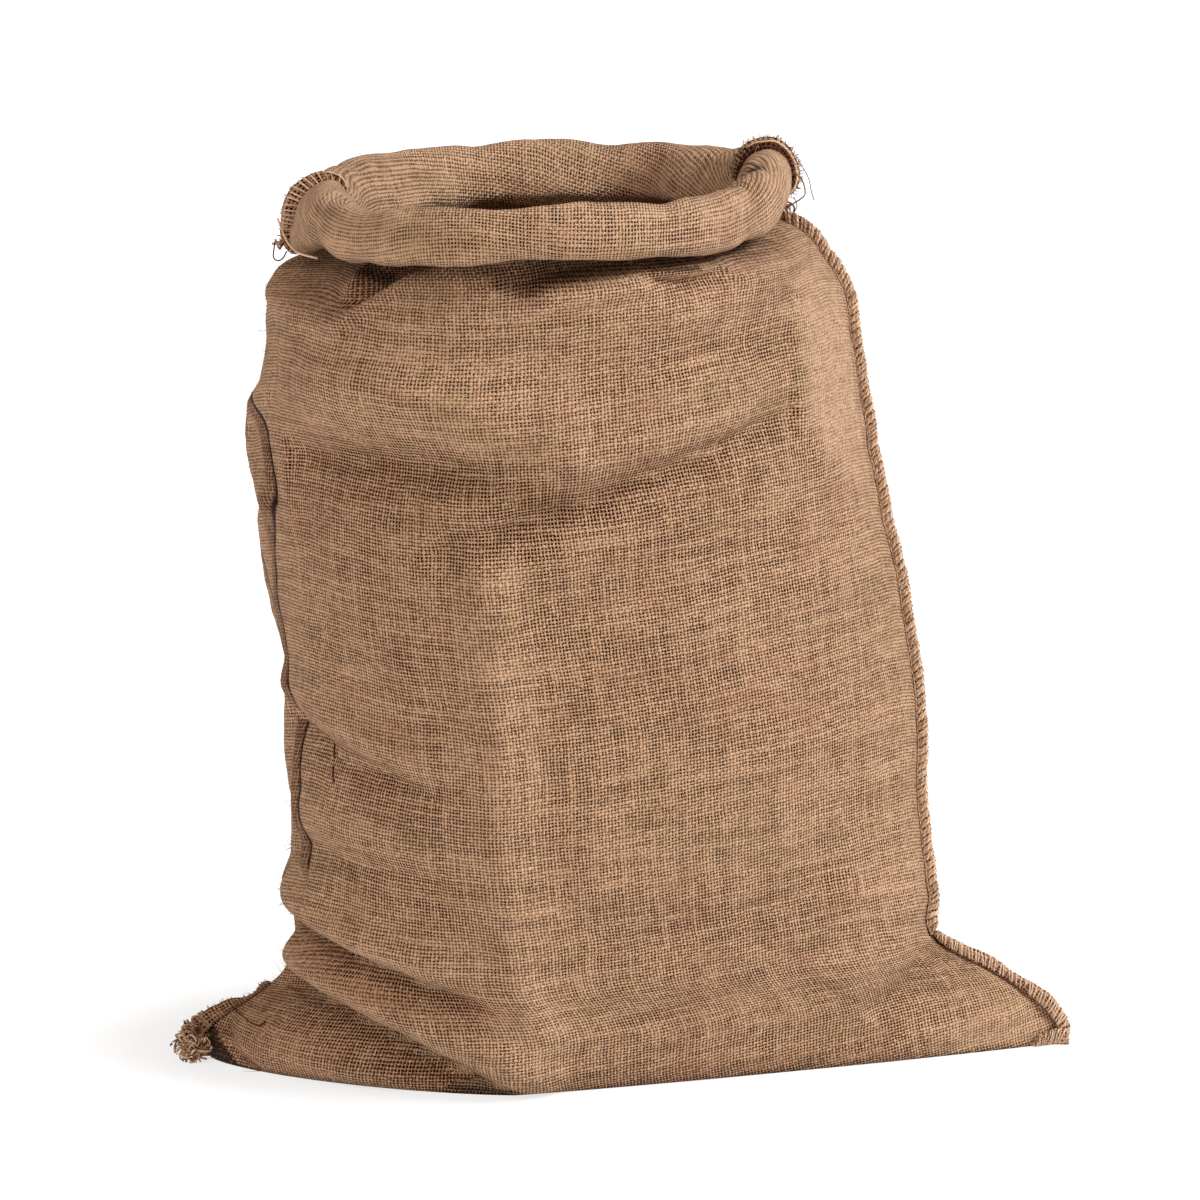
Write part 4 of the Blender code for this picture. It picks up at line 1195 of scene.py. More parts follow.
class Piece:
    """Points in millimetres and faces, gathered for one object."""

    def __init__(self):
        self.points, self.loops, self.sizes, self.maps, self.slots = [], [], [], [], []
        self.soil_and_shading_rows = []
        self.count = 0

    def add(self, points, faces, flat, slot, soil=0.0):
        """Faces of one size: a row of point numbers each, and as many places on the map."""
        self.points.append(points.reshape(-1, 3))
        self.soil_and_shading_rows.append(np.broadcast_to(soil, points.shape[:-1]).ravel())
        self.faces(faces, flat, slot, self.count)
        self.count += len(self.points[-1])

    def faces(self, faces, flat, slot, first=0):
        """Faces between points that are there, counted from the first one."""
        self.loops.append(faces.ravel() + first)
        self.sizes.append(np.full(len(faces), faces.shape[1]))
        self.maps.append(flat.reshape(-1, 2))
        self.slots.append(np.full(len(faces), slot))

    def tubes(self, paths, radii, sides=6, soil=0.0):
        """Closed tubes: paths is tubes by points by 3, radii one number or tubes by points."""
        many, steps = paths.shape[:2]
        radii = np.broadcast_to(radii, (many, steps))
        along = unit(np.gradient(paths, axis=1))
        steep = np.abs(along[:, :1, 2:]) >= STEEP
        guide = np.where(steep, (1.0, 0.0, 0.0), (0.0, 0.0, 1.0))[:, 0]
        normal = np.empty_like(along)
        side = unit(np.cross(along[:, 0], guide))
        for k in range(steps):
            side = unit(side - along[:, k] * np.sum(side * along[:, k], axis=1, keepdims=True))
            normal[:, k] = side
        other = np.cross(along, normal)
        turn = np.linspace(0, 2 * np.pi, sides, endpoint=False)[:, None]
        ring = np.cos(turn) * normal[:, :, None] + np.sin(turn) * other[:, :, None]
        rings = paths[:, :, None] + radii[..., None, None] * ring
        lengths = np.linalg.norm(np.diff(paths, axis=1), axis=-1)
        run = np.concatenate([np.zeros((many, 1)), np.cumsum(lengths, axis=1)], axis=1) * MM
        run += TUBE_SHIFT * np.arange(many)[:, None]
        start = (np.arange(many) * steps * sides)[:, None, None]
        k, i = np.meshgrid(np.arange(steps - 1), np.arange(sides), indexing="ij")
        a, b = k * sides + i, k * sides + (i + 1) % sides
        quads = np.stack([a, b, b + sides, a + sides], axis=-1).reshape(1, -1, 4) + start
        u = np.stack([run[:, :-1], run[:, :-1], run[:, 1:], run[:, 1:]], axis=-1)
        u = np.repeat(u[:, :, None], sides, axis=2)
        v = np.stack([i, i + 1, i + 1, i], axis=-1) / sides
        flat = np.stack([u, np.broadcast_to(v, u.shape)], axis=-1)
        first = self.count
        soil = np.broadcast_to(np.reshape(soil, (-1, 1, 1)), rings.shape[:-1])
        self.add(rings, quads.reshape(-1, 4), flat, TWINE, soil)
        ring = np.arange(sides)
        for caps in (ring[::-1], ring + (steps - 1) * sides):
            ends = caps[None, :] + start[:, 0]
            self.faces(ends, np.full((*ends.shape, 2), ON_YARN), TWINE, first)

    def net(self, rows, flat, soil=0.0):
        """A net of faces over rows of points, whose last column joins the first."""
        height, width = rows.shape[:2]
        r, c = np.meshgrid(np.arange(height - 1), np.arange(width), indexing="ij")
        a, b = r * width + c, r * width + (c + 1) % width
        quads = np.stack([a, b, b + width, a + width], axis=-1).reshape(-1, 4)
        self.add(rows, quads, flat.reshape(-1, 4, 2), WEAVE, soil)

    def made(self, name, *finishes, **marks):
        """The object, in place, with outward faces and a number at each point for each mark."""
        loops, sizes = np.concatenate(self.loops), np.concatenate(self.sizes)
        mesh = bpy.data.meshes.new(name)
        points = metres(np.concatenate(self.points))
        mesh.vertices.add(len(points))
        mesh.vertices.foreach_set("co", points.ravel())
        mesh.loops.add(len(loops))
        mesh.loops.foreach_set("vertex_index", loops)
        mesh.polygons.add(len(sizes))
        mesh.polygons.foreach_set("loop_start", np.concatenate([[0], np.cumsum(sizes)[:-1]]))
        mesh.polygons.foreach_set("material_index", np.concatenate(self.slots))
        cloth_map = mesh.uv_layers.new(name="cloth")
        cloth_map.uv.foreach_set("vector", np.concatenate(self.maps).ravel())
        mesh.update(calc_edges=True)
        mesh.validate()
        shell = bmesh.new()
        shell.from_mesh(mesh)
        bmesh.ops.recalc_face_normals(shell, faces=shell.faces)
        shell.to_mesh(mesh)
        shell.free()
        for finish in finishes:
            mesh.materials.append(finish)
        marks.setdefault("beside_seam", np.full(len(points), FAR_OFF))
        marks["soil"] = np.concatenate(self.soil_and_shading_rows)
        for mark, values in marks.items():
            mesh.attributes.new(mark, "FLOAT", "POINT").data.foreach_set("value", values)
        mesh.shade_smooth()
        made = bpy.data.objects.new(name, mesh)
        bpy.context.scene.collection.objects.link(made)
        print(f"{name}: {int((sizes - 2).sum())} triangles")
        return made


print("materials of a piece: weave", WEAVE, "and twine", TWINE)

# %% [markdown]
# ## The map of the cloth
#
# Both panels were woven flat, and the map says where each point was then, so that the yarns
# have their real size and run with the cloth.  The level yarns of a full sack sag in the
# middle of a panel, because the load pulls it down.  A map made by unwrapping would follow
# the mesh instead and lose that.

# %% Where the points were on the flat cloth
SAG = 0.14  # how steeply the level yarns rise towards both sides
SAG_LEAN = 0.05  # and how much more to the right than to the left
SAG_MIDDLE = -60.0  # where they are lowest, in millimetres from a panel's middle
SAG_ROUND = 60.0  # and how round they are there


def cloth_map(u, v):
    """The map of a closed net: each cell's four corners, with a break at both side seams."""
    v = v - SAG * np.hypot(u - SAG_MIDDLE, SAG_ROUND) - SAG_LEAN * u
    right_u, right_v = np.roll(u, -1, axis=1), np.roll(v, -1, axis=1)
    right_u[:, FRONT_COLUMNS - 1] = -u[:, 0]
    right_u[:, -1] = -u[:, FRONT_COLUMNS]
    flat = corners(np.stack([u, v], axis=-1), np.stack([right_u, right_v], axis=-1))
    flat[:, FRONT_COLUMNS:] += BACK_AWAY
    return flat * MM


print("the front panel is", round(float(np.ptp(across[0, :FRONT_COLUMNS]))), "mm wide")

# %% [markdown]
# ## Rubbed places, painted light and painted shade
#
# A used sack is rubbed pale where it stands out.  High on the right a smooth flat is rubbed
# so much that a nap hides the weave.  The foot is darker with painted shade, and the right ear
# and the left end of the cuff are paler with painted light.  An image would tie such places to
# its pixels, so each is a soft region, given by ways round and heights.

# %% Wear, and painted light and shade
FLAT_EDGE = (
    # a smooth flat near the right side: the height, and the way round of its left edge
    (360, 0.470), (378, 0.457), (405, 0.436), (428, 0.417), (449, 0.407), (471, 0.409),
    (494, 0.412), (519, 0.405), (545, 0.398), (560, 0.398),
)
FLAT_SPAN = (352, 446, 500, 560)  # it comes in over the first two heights, and goes over the rest
FLAT_SOFT = (-8.0, 20.0)  # millimetres from its left edge over which it comes in
FLAT_RIGHT = (0.466, 0.498)  # ways round over which it goes
FLAT_RUBBED = 1.1
EAR_PAINTED_LIGHT = (20.0, 60.0, 50.0, 130.0, 0.13)  # painted light at the right ear: up to which height, how far round, how much
FOOT_PAINTED_SHADE = (30.0, 0.16)  # painted shade low on the wall, where the cloth turns under: up to which height, and how much
CUFF_PAINTED_LIGHT = (0.10, 0.26, 0.10)  # painted light at the left end of the cuff: how far round, and how much
CUFF_FROM = (-4, 2)  # over which rows, counted from the neck, that comes in


def rubbed_and_shaded():
    """How worn each point of the outer face is, crests and the flat near the right side, with
    painted shade in creases and strokes.
    """
    height = outer_wall[..., 2]
    off_edge = (ways[None, :] - table_at(FLAT_EDGE, height)[..., 0]) * GIRTH
    flat = smoothstep(*FLAT_SOFT, off_edge) * (1 - smoothstep(*FLAT_RIGHT, ways))
    flat = flat * smoothstep(*FLAT_SPAN[:2], height) * (1 - smoothstep(*FLAT_SPAN[2:], height))
    amount = worn_and_shaded.copy()
    amount[:WALL_ROWS] += (FLAT_RUBBED - amount[:WALL_ROWS]) * flat
    return amount


def foot_shade_ear_light():
    """How much darker each point of the outer face is painted: painted shade at the foot, and
    painted light at the right ear.
    """
    height, from_corner = outer[..., 2], abs(ways[None, :] - 0.5) * GIRTH
    low, high, close, far, lighter = EAR_PAINTED_LIGHT
    at_ear = (1 - smoothstep(low, high, height)) * (1 - smoothstep(close, far, from_corner))
    top, soil = FOOT_PAINTED_SHADE
    at_foot = (1 - smoothstep(0.0, top, height)) * smoothstep(close, far, from_corner)
    return soil * at_foot - lighter * at_ear


def painted_cuff_light(rows):
    """The same for rows of the inner face, with painted light at the left end of the cuff."""
    near, far, lighter = CUFF_PAINTED_LIGHT
    on_cuff = smoothstep(*CUFF_FROM, rows - WALL_ROWS)[:, None]
    return -lighter * on_cuff * (1 - smoothstep(near, far, ways))


print("soil from", foot_shade_ear_light().min().round(2), "to", foot_shade_ear_light().max().round(2))

# %% [markdown]
# ## The cloth itself
#
# The sack is one closed shell two millimetres thick: the outer face, the inner face, the cut
# edge that joins them inside the roll, and a flat foot in each.  A shell was chosen over a
# single sheet with a Solidify modifier, because the roll and the mouth show both faces.

# %% The sack
INNER_SKIP = 4  # the inner face of the wall has one row for so many outer ones
NECK_ROWS = 20  # rows below the neck that it keeps, with all those of the roll
FOOT_RINGS = (0.93, 0.82, 0.66, 0.46, 0.24, 0.08)  # rings of the foot, in shares of its size
SPINE = 0.55  # the rings shrink towards a line so long, in shares of the foot
FOOT_SLACK = 1.2  # how high the foot lies in its folds inside the sack
FOOT_LUMPS = (40.0, 15.0)  # how wide those folds are, and their place in the noise


def foot(piece, edge, first, slack):
    """The foot of one face, in rings from its lowest row, which starts at the point first."""
    ring = np.arange(len(edge))
    spine = np.stack([edge[:, 0] * SPINE, np.zeros(len(edge)), edge[:, 2]], axis=1)
    rings = np.array([spine + (edge - spine) * share for share in (1.0, *FOOT_RINGS)])
    rings[1:, :, 2] += slack + slack * lumps(rings[1:], *FOOT_LUMPS)
    begin = piece.count
    piece.net(rings[1:], level_corners(rings[1:]))
    beside = (ring + 1) % len(edge)
    join = np.stack([first + ring, first + beside, begin + beside, begin + ring], axis=1)
    piece.faces(join, level_corners(rings[:2]), WEAVE)
    last_ring = begin + (len(FOOT_RINGS) - 1) * len(edge) + ring
    piece.faces(last_ring[None, :], rings[-1, :, :2] * MM, WEAVE)


def sack():
    """The whole cloth, as one closed shell."""
    piece = Piece()
    piece.net(outer, cloth_map(across, up_cloth), soil=foot_shade_ear_light())
    neck_rows = np.arange(WALL_ROWS - NECK_ROWS, len(inner))
    kept = np.concatenate([np.arange(0, WALL_ROWS - NECK_ROWS, INNER_SKIP), neck_rows])
    first_inner = piece.count
    piece.net(inner[kept], cloth_map(across[kept], up_cloth[kept]), soil=painted_cuff_light(kept))
    past_inner = piece.count
    # the cut edge joins the last rows of both faces
    columns = len(ways)
    ring = np.arange(columns)
    beside = (ring + 1) % columns
    last, last_inner = first_inner - columns, past_inner - columns
    rim = [last + ring, last + beside, last_inner + beside, last_inner + ring]
    piece.faces(np.stack(rim, axis=1), np.full((columns, 4, 2), ON_YARN), WEAVE)
    foot(piece, outer[0], 0, 0.0)
    foot(piece, inner[0], first_inner, FOOT_SLACK)
    marks = {"wear": np.zeros(piece.count), "clean": np.zeros(piece.count),
             "beside_seam": np.full(piece.count, FAR_OFF)}
    marks["wear"][:first_inner] = rubbed_and_shaded().ravel()
    marks["wear"][first_inner:past_inner] = worn_and_shaded[kept].ravel()
    # the inner face, which the material paints paler, as painted light
    marks["clean"][first_inner:past_inner] = 1.0
    marks["beside_seam"][:beside_seam.size] = beside_seam.ravel()
    return piece.made("sack_cloth_fine", cloth_finish, **marks)


sack_piece = sack()

# %% [markdown]
# ## Overcast seams
#
# The two panels meet face to face, and a machine whips twine over both cut edges at once.
# So a seam allowance is a band of two layers that stands out from the side, twine in
# slanting loops round it, a row of needle stitches at its foot, and the cut ends of the
# yarns along its edge.  Real loops of twine were chosen over a bump, because they make the
# outline of the sack rough.

# %% Lines along the seams
FLAT_FOOT = 22.0  # below this height a band never leans down, where the sack stands


def evenly(line, step, *others):
    """A line, and rows that go with its points, read again at even steps along it."""
    length = np.concatenate([[0.0], np.cumsum(np.linalg.norm(np.diff(line, axis=0), axis=1))])
    at = np.linspace(0.0, length[-1], max(3, int(round(length[-1] / step)) + 1))
    read = [np.stack([np.interp(at, length, rows[:, k]) for k in range(rows.shape[1])], axis=1)
            for rows in (line, *others)]
    return at, *read


def upright_rise(line, way_out):
    """Unit vectors square to a line in an upright plane, away from the sack, never down."""
    along = np.gradient(line, axis=0)
    rise = np.stack([along[:, 2], 0 * along[:, 0], -along[:, 0]], axis=1) * way_out
    rise[:, 2] = np.where(line[:, 2] < FLAT_FOOT, np.maximum(rise[:, 2], 0.0), rise[:, 2])
    return unit(rise)


def wander(at, size, seed):
    """Smooth noise along a line, from -1 to 1."""
    return np.array([noise.noise(Vector((x / size, seed, 0.5 * seed)))
                     for x in np.atleast_1d(at)])


print("noise at 0:", wander(0.0, 10.0, 3.0).round(2))

# %% [markdown]
# ## A band with its twine
#
# The band is a narrow closed net: its outline goes up one layer, down into the slit between
# the cut edges, and up and down the other.  Everything sewn to it is placed by how far along
# the band it is, how far across, and how far up.  So the same few lines sew a straight side,
# a corner or the end of a roll, where points laid by hand would be laid again for each.

# %% How twine goes round a band
BAND_STEP = 1.6  # millimetres between the rows of a band
BAND_THICK = 3.6
BAND_ROUND = 5.0  # length over which a band rises at both its ends
BAND_END = 0.35  # how high it is there, in heights
BAND_WAVE = (0.7, 9.0)  # how much its edge waves, and how long a wave is
BAND_SWAY = ((1.3, 21.0), (0.5, 7.0))  # the same for how it leans from side to side
SEAM_HEIGHT = 9.0  # the height that the map of a band is made for
BAND_OUTLINE = (
    # across in thicknesses, up in heights: two layers with a slit between them
    (-0.50, 0.0), (-0.56, 0.35), (-0.50, 0.75), (-0.34, 0.97), (-0.14, 0.95), (0.0, 0.80),
    (0.14, 0.95), (0.34, 0.97), (0.50, 0.75), (0.56, 0.35), (0.50, 0.0),
)
SLIT_SHADE = (0.4, 0.8)  # the heights between which the shade at a band's foot ends
CLEARANCE = 0.2  # how far twine stays off the ground
LOOP_STEPS = 14  # points in one loop of twine
LOOP_SQUARE = 1.6  # how squarely it goes round the band
LOOP_STRAY = 0.6  # how far even tight twine strays along the band
# How much loops differ in height and twine in thickness, and over how many turns
LOOP_RISE, LOOP_THICK = (0.06, 0.9), (0.25, 0.7)
NEEDLE_STEPS = 6  # points in one needle stitch
NEEDLE_LENGTH = 0.92  # how long it is, in pitches
NEEDLE_OUT = (0.1, 0.6)  # how far out its ends lie, and how much further its middle
# How much a loose cord swings, climbs and thickens, and over what length
CORD_SWING, CORD_CLIMB, CORD_THICK = (0.4, 6.0), (0.05, 5.0), (0.2, 3.0)
END_STEPS = 5  # points in one cut end of a yarn
END_MARGIN = 0.8  # how far the outermost ones are from the ends of the band
END_SIDE = (0.5, 1.3)  # how far they stand from the slit, at least and at most
END_LEAN, END_BEND = 1.2, 1.3  # how far they lean along the band, and bend across it
END_TIP = 0.55  # how thick the tip is, in radii
# Ways to overcast: the pitch of a stitch, how far it leans on the side that shows, how
# loosely and how high it lies, and the place and radius of each strand
STOUT = dict(pitch=5.7, slant=2.4, loose=0.25, top=0.96, strands=((0.0, 1.05), (1.95, 0.85)))
FINE = dict(pitch=4.7, slant=2.2, loose=1.5, top=0.97, strands=((0.0, 0.62), (2.1, 0.52)))
SPARSE = dict(pitch=3.1, slant=0.5, loose=0.2, top=0.94, strands=((0.0, 0.48),))
RAVELLED = dict(pitch=4.3, slant=0.9, loose=1.2, top=1.02, strands=((0.0, 0.6), (1.7, 0.45)))
print("bands of", BAND_THICK, "mm, a stout loop every", STOUT["pitch"], "mm")

# %% The band
def above_ground(paths, least):
    """Keeps the points of paths at least so high."""
    paths[..., 2] = np.maximum(paths[..., 2], least)
    return paths


class Band:
    """A seam allowance: where its foot runs, which way it stands, and how high.

    Each use of noise adds a number of its own to the band's seed, so that none match.
    """

    def __init__(self, line, rise, height, seed, rounding=BAND_ROUND):
        self.at, self.foot, self.rise, high = evenly(line, BAND_STEP, rise, height[:, None])
        self.rise = unit(self.rise)
        ends = np.minimum(self.at, self.at[-1] - self.at)
        rounded = BAND_END + (1 - BAND_END) * np.sqrt(np.clip(ends / rounding, 0.0, 1.0))
        wave, size = BAND_WAVE
        self.height = (high[:, 0] + wave * wander(self.at, size, seed)) * rounded
        self.across = unit(np.cross(np.gradient(self.foot, axis=0), self.rise))
        self.across *= np.where(self.across[:, 1:2] < 0, 1.0, -1.0)
        self.sway = sum(wide * wander(self.at, size, seed + extra)
                        for (wide, size), extra in zip(BAND_SWAY, (5, 6)))
        self.seed = seed

    def place(self, at, across, up):
        """Points at distances along the band, across it in mm, and up it in heights."""
        def read(rows):
            return np.stack([np.interp(at, self.at, rows[:, k]) for k in range(3)], axis=-1)
        height = np.interp(at, self.at, self.height)
        sway = np.interp(at, self.at, self.sway) * np.clip(up, 0.0, 1.2)
        return (read(self.foot) + read(self.rise) * (height * up)[..., None]
                + read(self.across) * (across + sway)[..., None])

    def layers(self, piece, soil=0.0, foot=0.0):
        """The two layers of cloth, darker towards the foot where no light gets in."""
        across, up = np.array(BAND_OUTLINE).T
        at = np.repeat(self.at[:, None], len(up), axis=1)
        rows = self.place(at, across[None, :] * BAND_THICK + 0 * at, up[None, :] + 0 * at)
        above_ground(rows, 0.25)
        steps = np.hypot(np.diff(across) * BAND_THICK, np.diff(up) * SEAM_HEIGHT)
        girth = np.concatenate([[0.0], np.cumsum(steps)])
        girth = np.append(girth, girth[-1] + BAND_THICK)
        flat = np.stack(np.broadcast_arrays(self.at[:, None], girth[None, :]), axis=-1)
        first = piece.count
        shade = soil + foot * (1 - smoothstep(*SLIT_SHADE, up))
        piece.net(rows, corners(flat[:, :-1], flat[:, 1:]) * MM, soil=shade)
        ring = np.arange(len(up))
        for cap in (ring[::-1], ring + (len(rows) - 1) * len(up)):
            piece.faces(cap[None, :], np.full((1, len(up), 2), ON_YARN), WEAVE, first)

    def overcast(self, piece, pitch, slant, loose, top, strands, soil=0.0):
        """Loops of twine round both layers, one after another along the whole band."""
        turn = np.arange(int(self.at[-1] / pitch) * LOOP_STEPS + 1) / LOOP_STEPS
        phase = 2 * np.pi * turn
        for shift, radius in strands:
            lean = slant * (1 - np.cos(phase)) / 2
            stray = wander(turn, 1.3 / (0.5 + loose), self.seed + 11 + shift)
            at = pitch * turn + lean + shift + (LOOP_STRAY + loose) * stray
            share, turns = LOOP_RISE
            high = top * (1.0 + share * wander(turn, turns, self.seed + 17 + shift))
            up = 0.02 + high * (1 - np.cos(phase)) / 2
            across = np.tanh(LOOP_SQUARE * np.sin(phase)) / np.tanh(LOOP_SQUARE)
            slack = loose * wander(turn, 0.8, self.seed + shift)
            across *= BAND_THICK / 2 + 0.7 * radius + slack
            path = self.place(np.clip(at, 0, self.at[-1]), across, up)
            share, turns = LOOP_THICK
            thick = radius * (1 + share * wander(turn, turns, self.seed + 23))
            piece.tubes(above_ground(path, radius + CLEARANCE)[None], thick[None], soil=soil)

    def needle_line(self, piece, side, up=0.1, radius=0.5, pitch=5.0, soil=0.0):
        """Stitches in a row, as short strands that dip at both ends."""
        starts = np.arange(1.0, self.at[-1] - pitch, pitch)
        share = np.linspace(0.0, 1.0, NEEDLE_STEPS)
        at = starts[:, None] + share[None, :] * (pitch * NEEDLE_LENGTH)
        ends, middle = NEEDLE_OUT
        across = side * (BAND_THICK / 2 + ends + middle * np.sin(np.pi * share))[None, :] + 0 * at
        heights = up + 0.05 * (share[None, :] - 0.5) + 0 * at
        paths = self.place(at, across, heights)
        piece.tubes(above_ground(paths, radius + CLEARANCE), radius, soil=soil)

    def cord(self, piece, across, up, radius, span, soil):
        """Twine laid along a stretch of the band, never quite straight."""
        low, high = span
        at = self.at[-1] * np.linspace(low, high, 3 + int(self.at[-1] * (high - low) / 1.5))

        def uneven(amount, length, extra):
            return amount * wander(at, length, self.seed + extra)

        path = self.place(at, across + uneven(*CORD_SWING, 31), up + uneven(*CORD_CLIMB, 37))
        thick = radius * (1 + uneven(*CORD_THICK, 41))
        piece.tubes(path[None], thick[None], soil=soil)

    def cut_ends(self, piece, pitch, shortest, longest, radius=0.42, low=0.82,
                 soil=(0.0, 0.2)):
        """Cut ends of yarn that stick out over the edge of both layers."""
        rng = np.random.default_rng(int(self.seed * 10))
        starts = np.arange(END_MARGIN, self.at[-1] - END_MARGIN, pitch)
        starts = np.concatenate([starts, starts + 0.4 * pitch])
        many = len(starts)
        side = np.repeat([-1.0, 1.0], many // 2) * rng.uniform(*END_SIDE, many)
        length = rng.uniform(shortest, longest, many)
        share = np.linspace(0.0, 1.0, END_STEPS)
        at = starts[:, None] + share * rng.normal(0, END_LEAN, (many, 1))
        height = np.interp(starts, self.at, self.height)
        up = low + share * (1.0 - low + length / height)[:, None]
        across = side[:, None] + share**2 * rng.normal(0, END_BEND, (many, 1))
        paths = self.place(np.clip(at, 0, self.at[-1]), across, up)
        thinner = radius * np.linspace(1.0, END_TIP, END_STEPS)[None, :]
        radii = thinner * rng.uniform(0.6, 1.15, (many, 1))
        piece.tubes(above_ground(paths, radius + CLEARANCE), radii, 5,
                    soil=rng.uniform(*soil, many))


print("a loop of twine has", LOOP_STEPS, "points")

# %% [markdown]
# ## Loose yarn and hairs
#
# Where a cut edge isn't overcast, whole yarns come out and curl into a heap, and every jute
# yarn sheds short stiff hairs.  A hair system would draw hairs that the exported model
# can't keep, so they are thin tubes, on the seams and the outline, where they show.

# %% Heaps, threads and hairs
HEAP_STEPS = 12  # points in one loop of a heap
HEAP_ROUND = (1.6, 5.0)  # how far round a loop goes, in radians
HEAP_SMALLEST = 1.8  # the least radius of a loop
HEAP_DRIFT = 1.5  # how far the ends of a loop drift from their places
HAIR_RADIUS = 0.14
HAIR_STEPS = 6
HAIR_LEAN, HAIR_BEND = 0.7, 0.4  # how far a hair leans, and bends, in its lengths
HAIR_ROOT = 0.6  # how deep its root is in the cloth
HAIR_TIP = 0.5  # how thick its tip is, in radii


def frayed_heap(piece, middle, reach, count, seed, largest=5.0):
    """Loops of yarn that have come out of the weave and lie in a heap."""
    rng = np.random.default_rng(seed)
    begin = rng.uniform(0, 2 * np.pi, (count, 1))
    turn = begin + np.linspace(0, 1, HEAP_STEPS) * rng.uniform(*HEAP_ROUND, (count, 1))
    size = rng.uniform(HEAP_SMALLEST, largest, (count, 1, 1))
    first = unit(rng.normal(size=(count, 1, 3)))
    second = unit(np.cross(first, rng.normal(size=(count, 1, 3))))
    spread = unit(rng.normal(size=(count, 3))) * rng.uniform(0.2, 1.0, (count, 1)) ** 0.5
    centre = np.array(middle) + spread * reach
    loops = np.cos(turn)[..., None] * first + np.sin(turn)[..., None] * second
    drift = np.linspace(-1, 1, HEAP_STEPS)[:, None] * rng.normal(0, HEAP_DRIFT, (count, 1, 3))
    paths = centre[:, None] + size * loops + drift
    radii = rng.uniform(0.35, 0.85, (count, 1)) * np.linspace(1.1, 0.8, HEAP_STEPS)
    piece.tubes(above_ground(paths, radii + 0.3), radii, soil=rng.uniform(-0.15, 0.45, count))


def thread(piece, points, radius, soil, steps=24):
    """One thread through a few points, in a smooth curve."""
    rows = np.column_stack([np.arange(len(points)), points])
    path = table_at(rows, np.linspace(0, len(points) - 1, steps))
    piece.tubes(path[None], radius, soil=soil)


def hairs(piece, count, seed, middle_way, spread, rows, longest=9.0):
    """Hairs of jute that stand off the cloth round a place on the way round."""
    rng = np.random.default_rng(seed)
    off = abs((ways - middle_way + 0.5) % 1.0 - 0.5)
    column = rng.choice(np.nonzero(off < spread)[0], count)
    row = rng.integers(*rows, count)
    on_wall = row[:, None] < WALL_ROWS
    away = unit((outer[row, column] - inner[row, column]) * np.where(on_wall, 1.0, -1.0))
    root = np.where(on_wall, outer[row, column], inner[row, column])
    lean = unit(away + rng.normal(0, HAIR_LEAN, (count, 3)))[:, None]
    bend = rng.normal(0, HAIR_BEND, (count, 1, 3))
    length = rng.uniform(0.3, 1.0, (count, 1, 1)) ** 1.5 * longest
    share = np.linspace(0, 1, HAIR_STEPS)[None, :, None]
    root = root - HAIR_ROOT * away
    paths = root[:, None] + length * (lean * share + bend * share**2)
    above_ground(paths, HAIR_RADIUS + 0.3)
    thinner = np.linspace(1.0, HAIR_TIP, HAIR_STEPS)
    radii = HAIR_RADIUS * rng.uniform(0.7, 1.2, (count, 1)) * thinner
    piece.tubes(paths, radii, 4, soil=rng.uniform(-0.2, 0.3, count))


print("hairs are", 2 * HAIR_RADIUS, "mm thick")

# %% [markdown]
# ## The seam up the right side
#
# The allowance of the right seam is outside, and stands off the wall from the ear up to the
# cuff like a piping of stout twine.  Along the top edge of the ear the twine is finer.  It
# could be one long band, but the two stretches are two solids in the frame, and each piece
# stands for one.

# %% The side seam and the right ear's seam
RIGHT, LEFT = FRONT_COLUMNS, 0  # the columns of the grid at both side seams
SIDE_HEIGHT = 7.4  # how far the band up the side stands out
SIDE_SPAN = (74, 542)  # the heights between which it runs
EAR_RIGHT_SPAN = (0, 76)
EAR_RIGHT_HEIGHTS = (
    # up the ear, and how far its band stands out there
    (0, 8.5), (10, 9.0), (20, 9.5), (29, 10.0), (37, 8.5), (44, 6.6), (52, 8.5), (63, 7.5),
    (78, 4.5),
)


def sewn(piece, name):
    """The object of a seam, which is made of both finishes."""
    return piece.made(name + "_fine", cloth_finish, twine_finish)


def rows_between(low, high):
    """The rows of the wall between two heights."""
    return np.nonzero((wall >= low) & (wall <= high))[0]


def side_seam_right():
    """The overcast allowance up the right side of the wall."""
    piece = Piece()
    line = outer[rows_between(*SIDE_SPAN), RIGHT]
    band = Band(line, upright_rise(line, 1), np.full(len(line), SIDE_HEIGHT), 1.0)
    band.layers(piece)
    band.overcast(piece, **STOUT)
    band.needle_line(piece, 1.0)
    band.needle_line(piece, -1.0)
    band.cut_ends(piece, 6.0, 0.2, 0.9)
    hairs(piece, 150, 21, 0.5, 0.05, (60, WALL_ROWS))
    return sewn(piece, "side_seam_right")


def ear_seam_right():
    """The same allowance along the top edge of the right ear."""
    piece = Piece()
    line = outer[rows_between(*EAR_RIGHT_SPAN), RIGHT]
    high = table_at(EAR_RIGHT_HEIGHTS, line[:, 2])[:, 0]
    band = Band(line, upright_rise(line, 1), high, 2.0, rounding=2.5)
    # the band and the twine of the ear are lighter, as painted light; the band's foot gets
    # painted shade
    band.layers(piece, soil=-0.12, foot=0.16)
    band.overcast(piece, **FINE, soil=-0.12)
    band.needle_line(piece, 1.0, up=0.04, radius=0.55, pitch=5.5, soil=0.5)
    band.cut_ends(piece, 3.0, 0.1, 0.9, radius=0.3)
    hairs(piece, 110, 22, 0.5, 0.05, (0, 60), 5.0)
    return sewn(piece, "ear_seam_right")


side_right_piece = side_seam_right()
ear_right_piece = ear_seam_right()

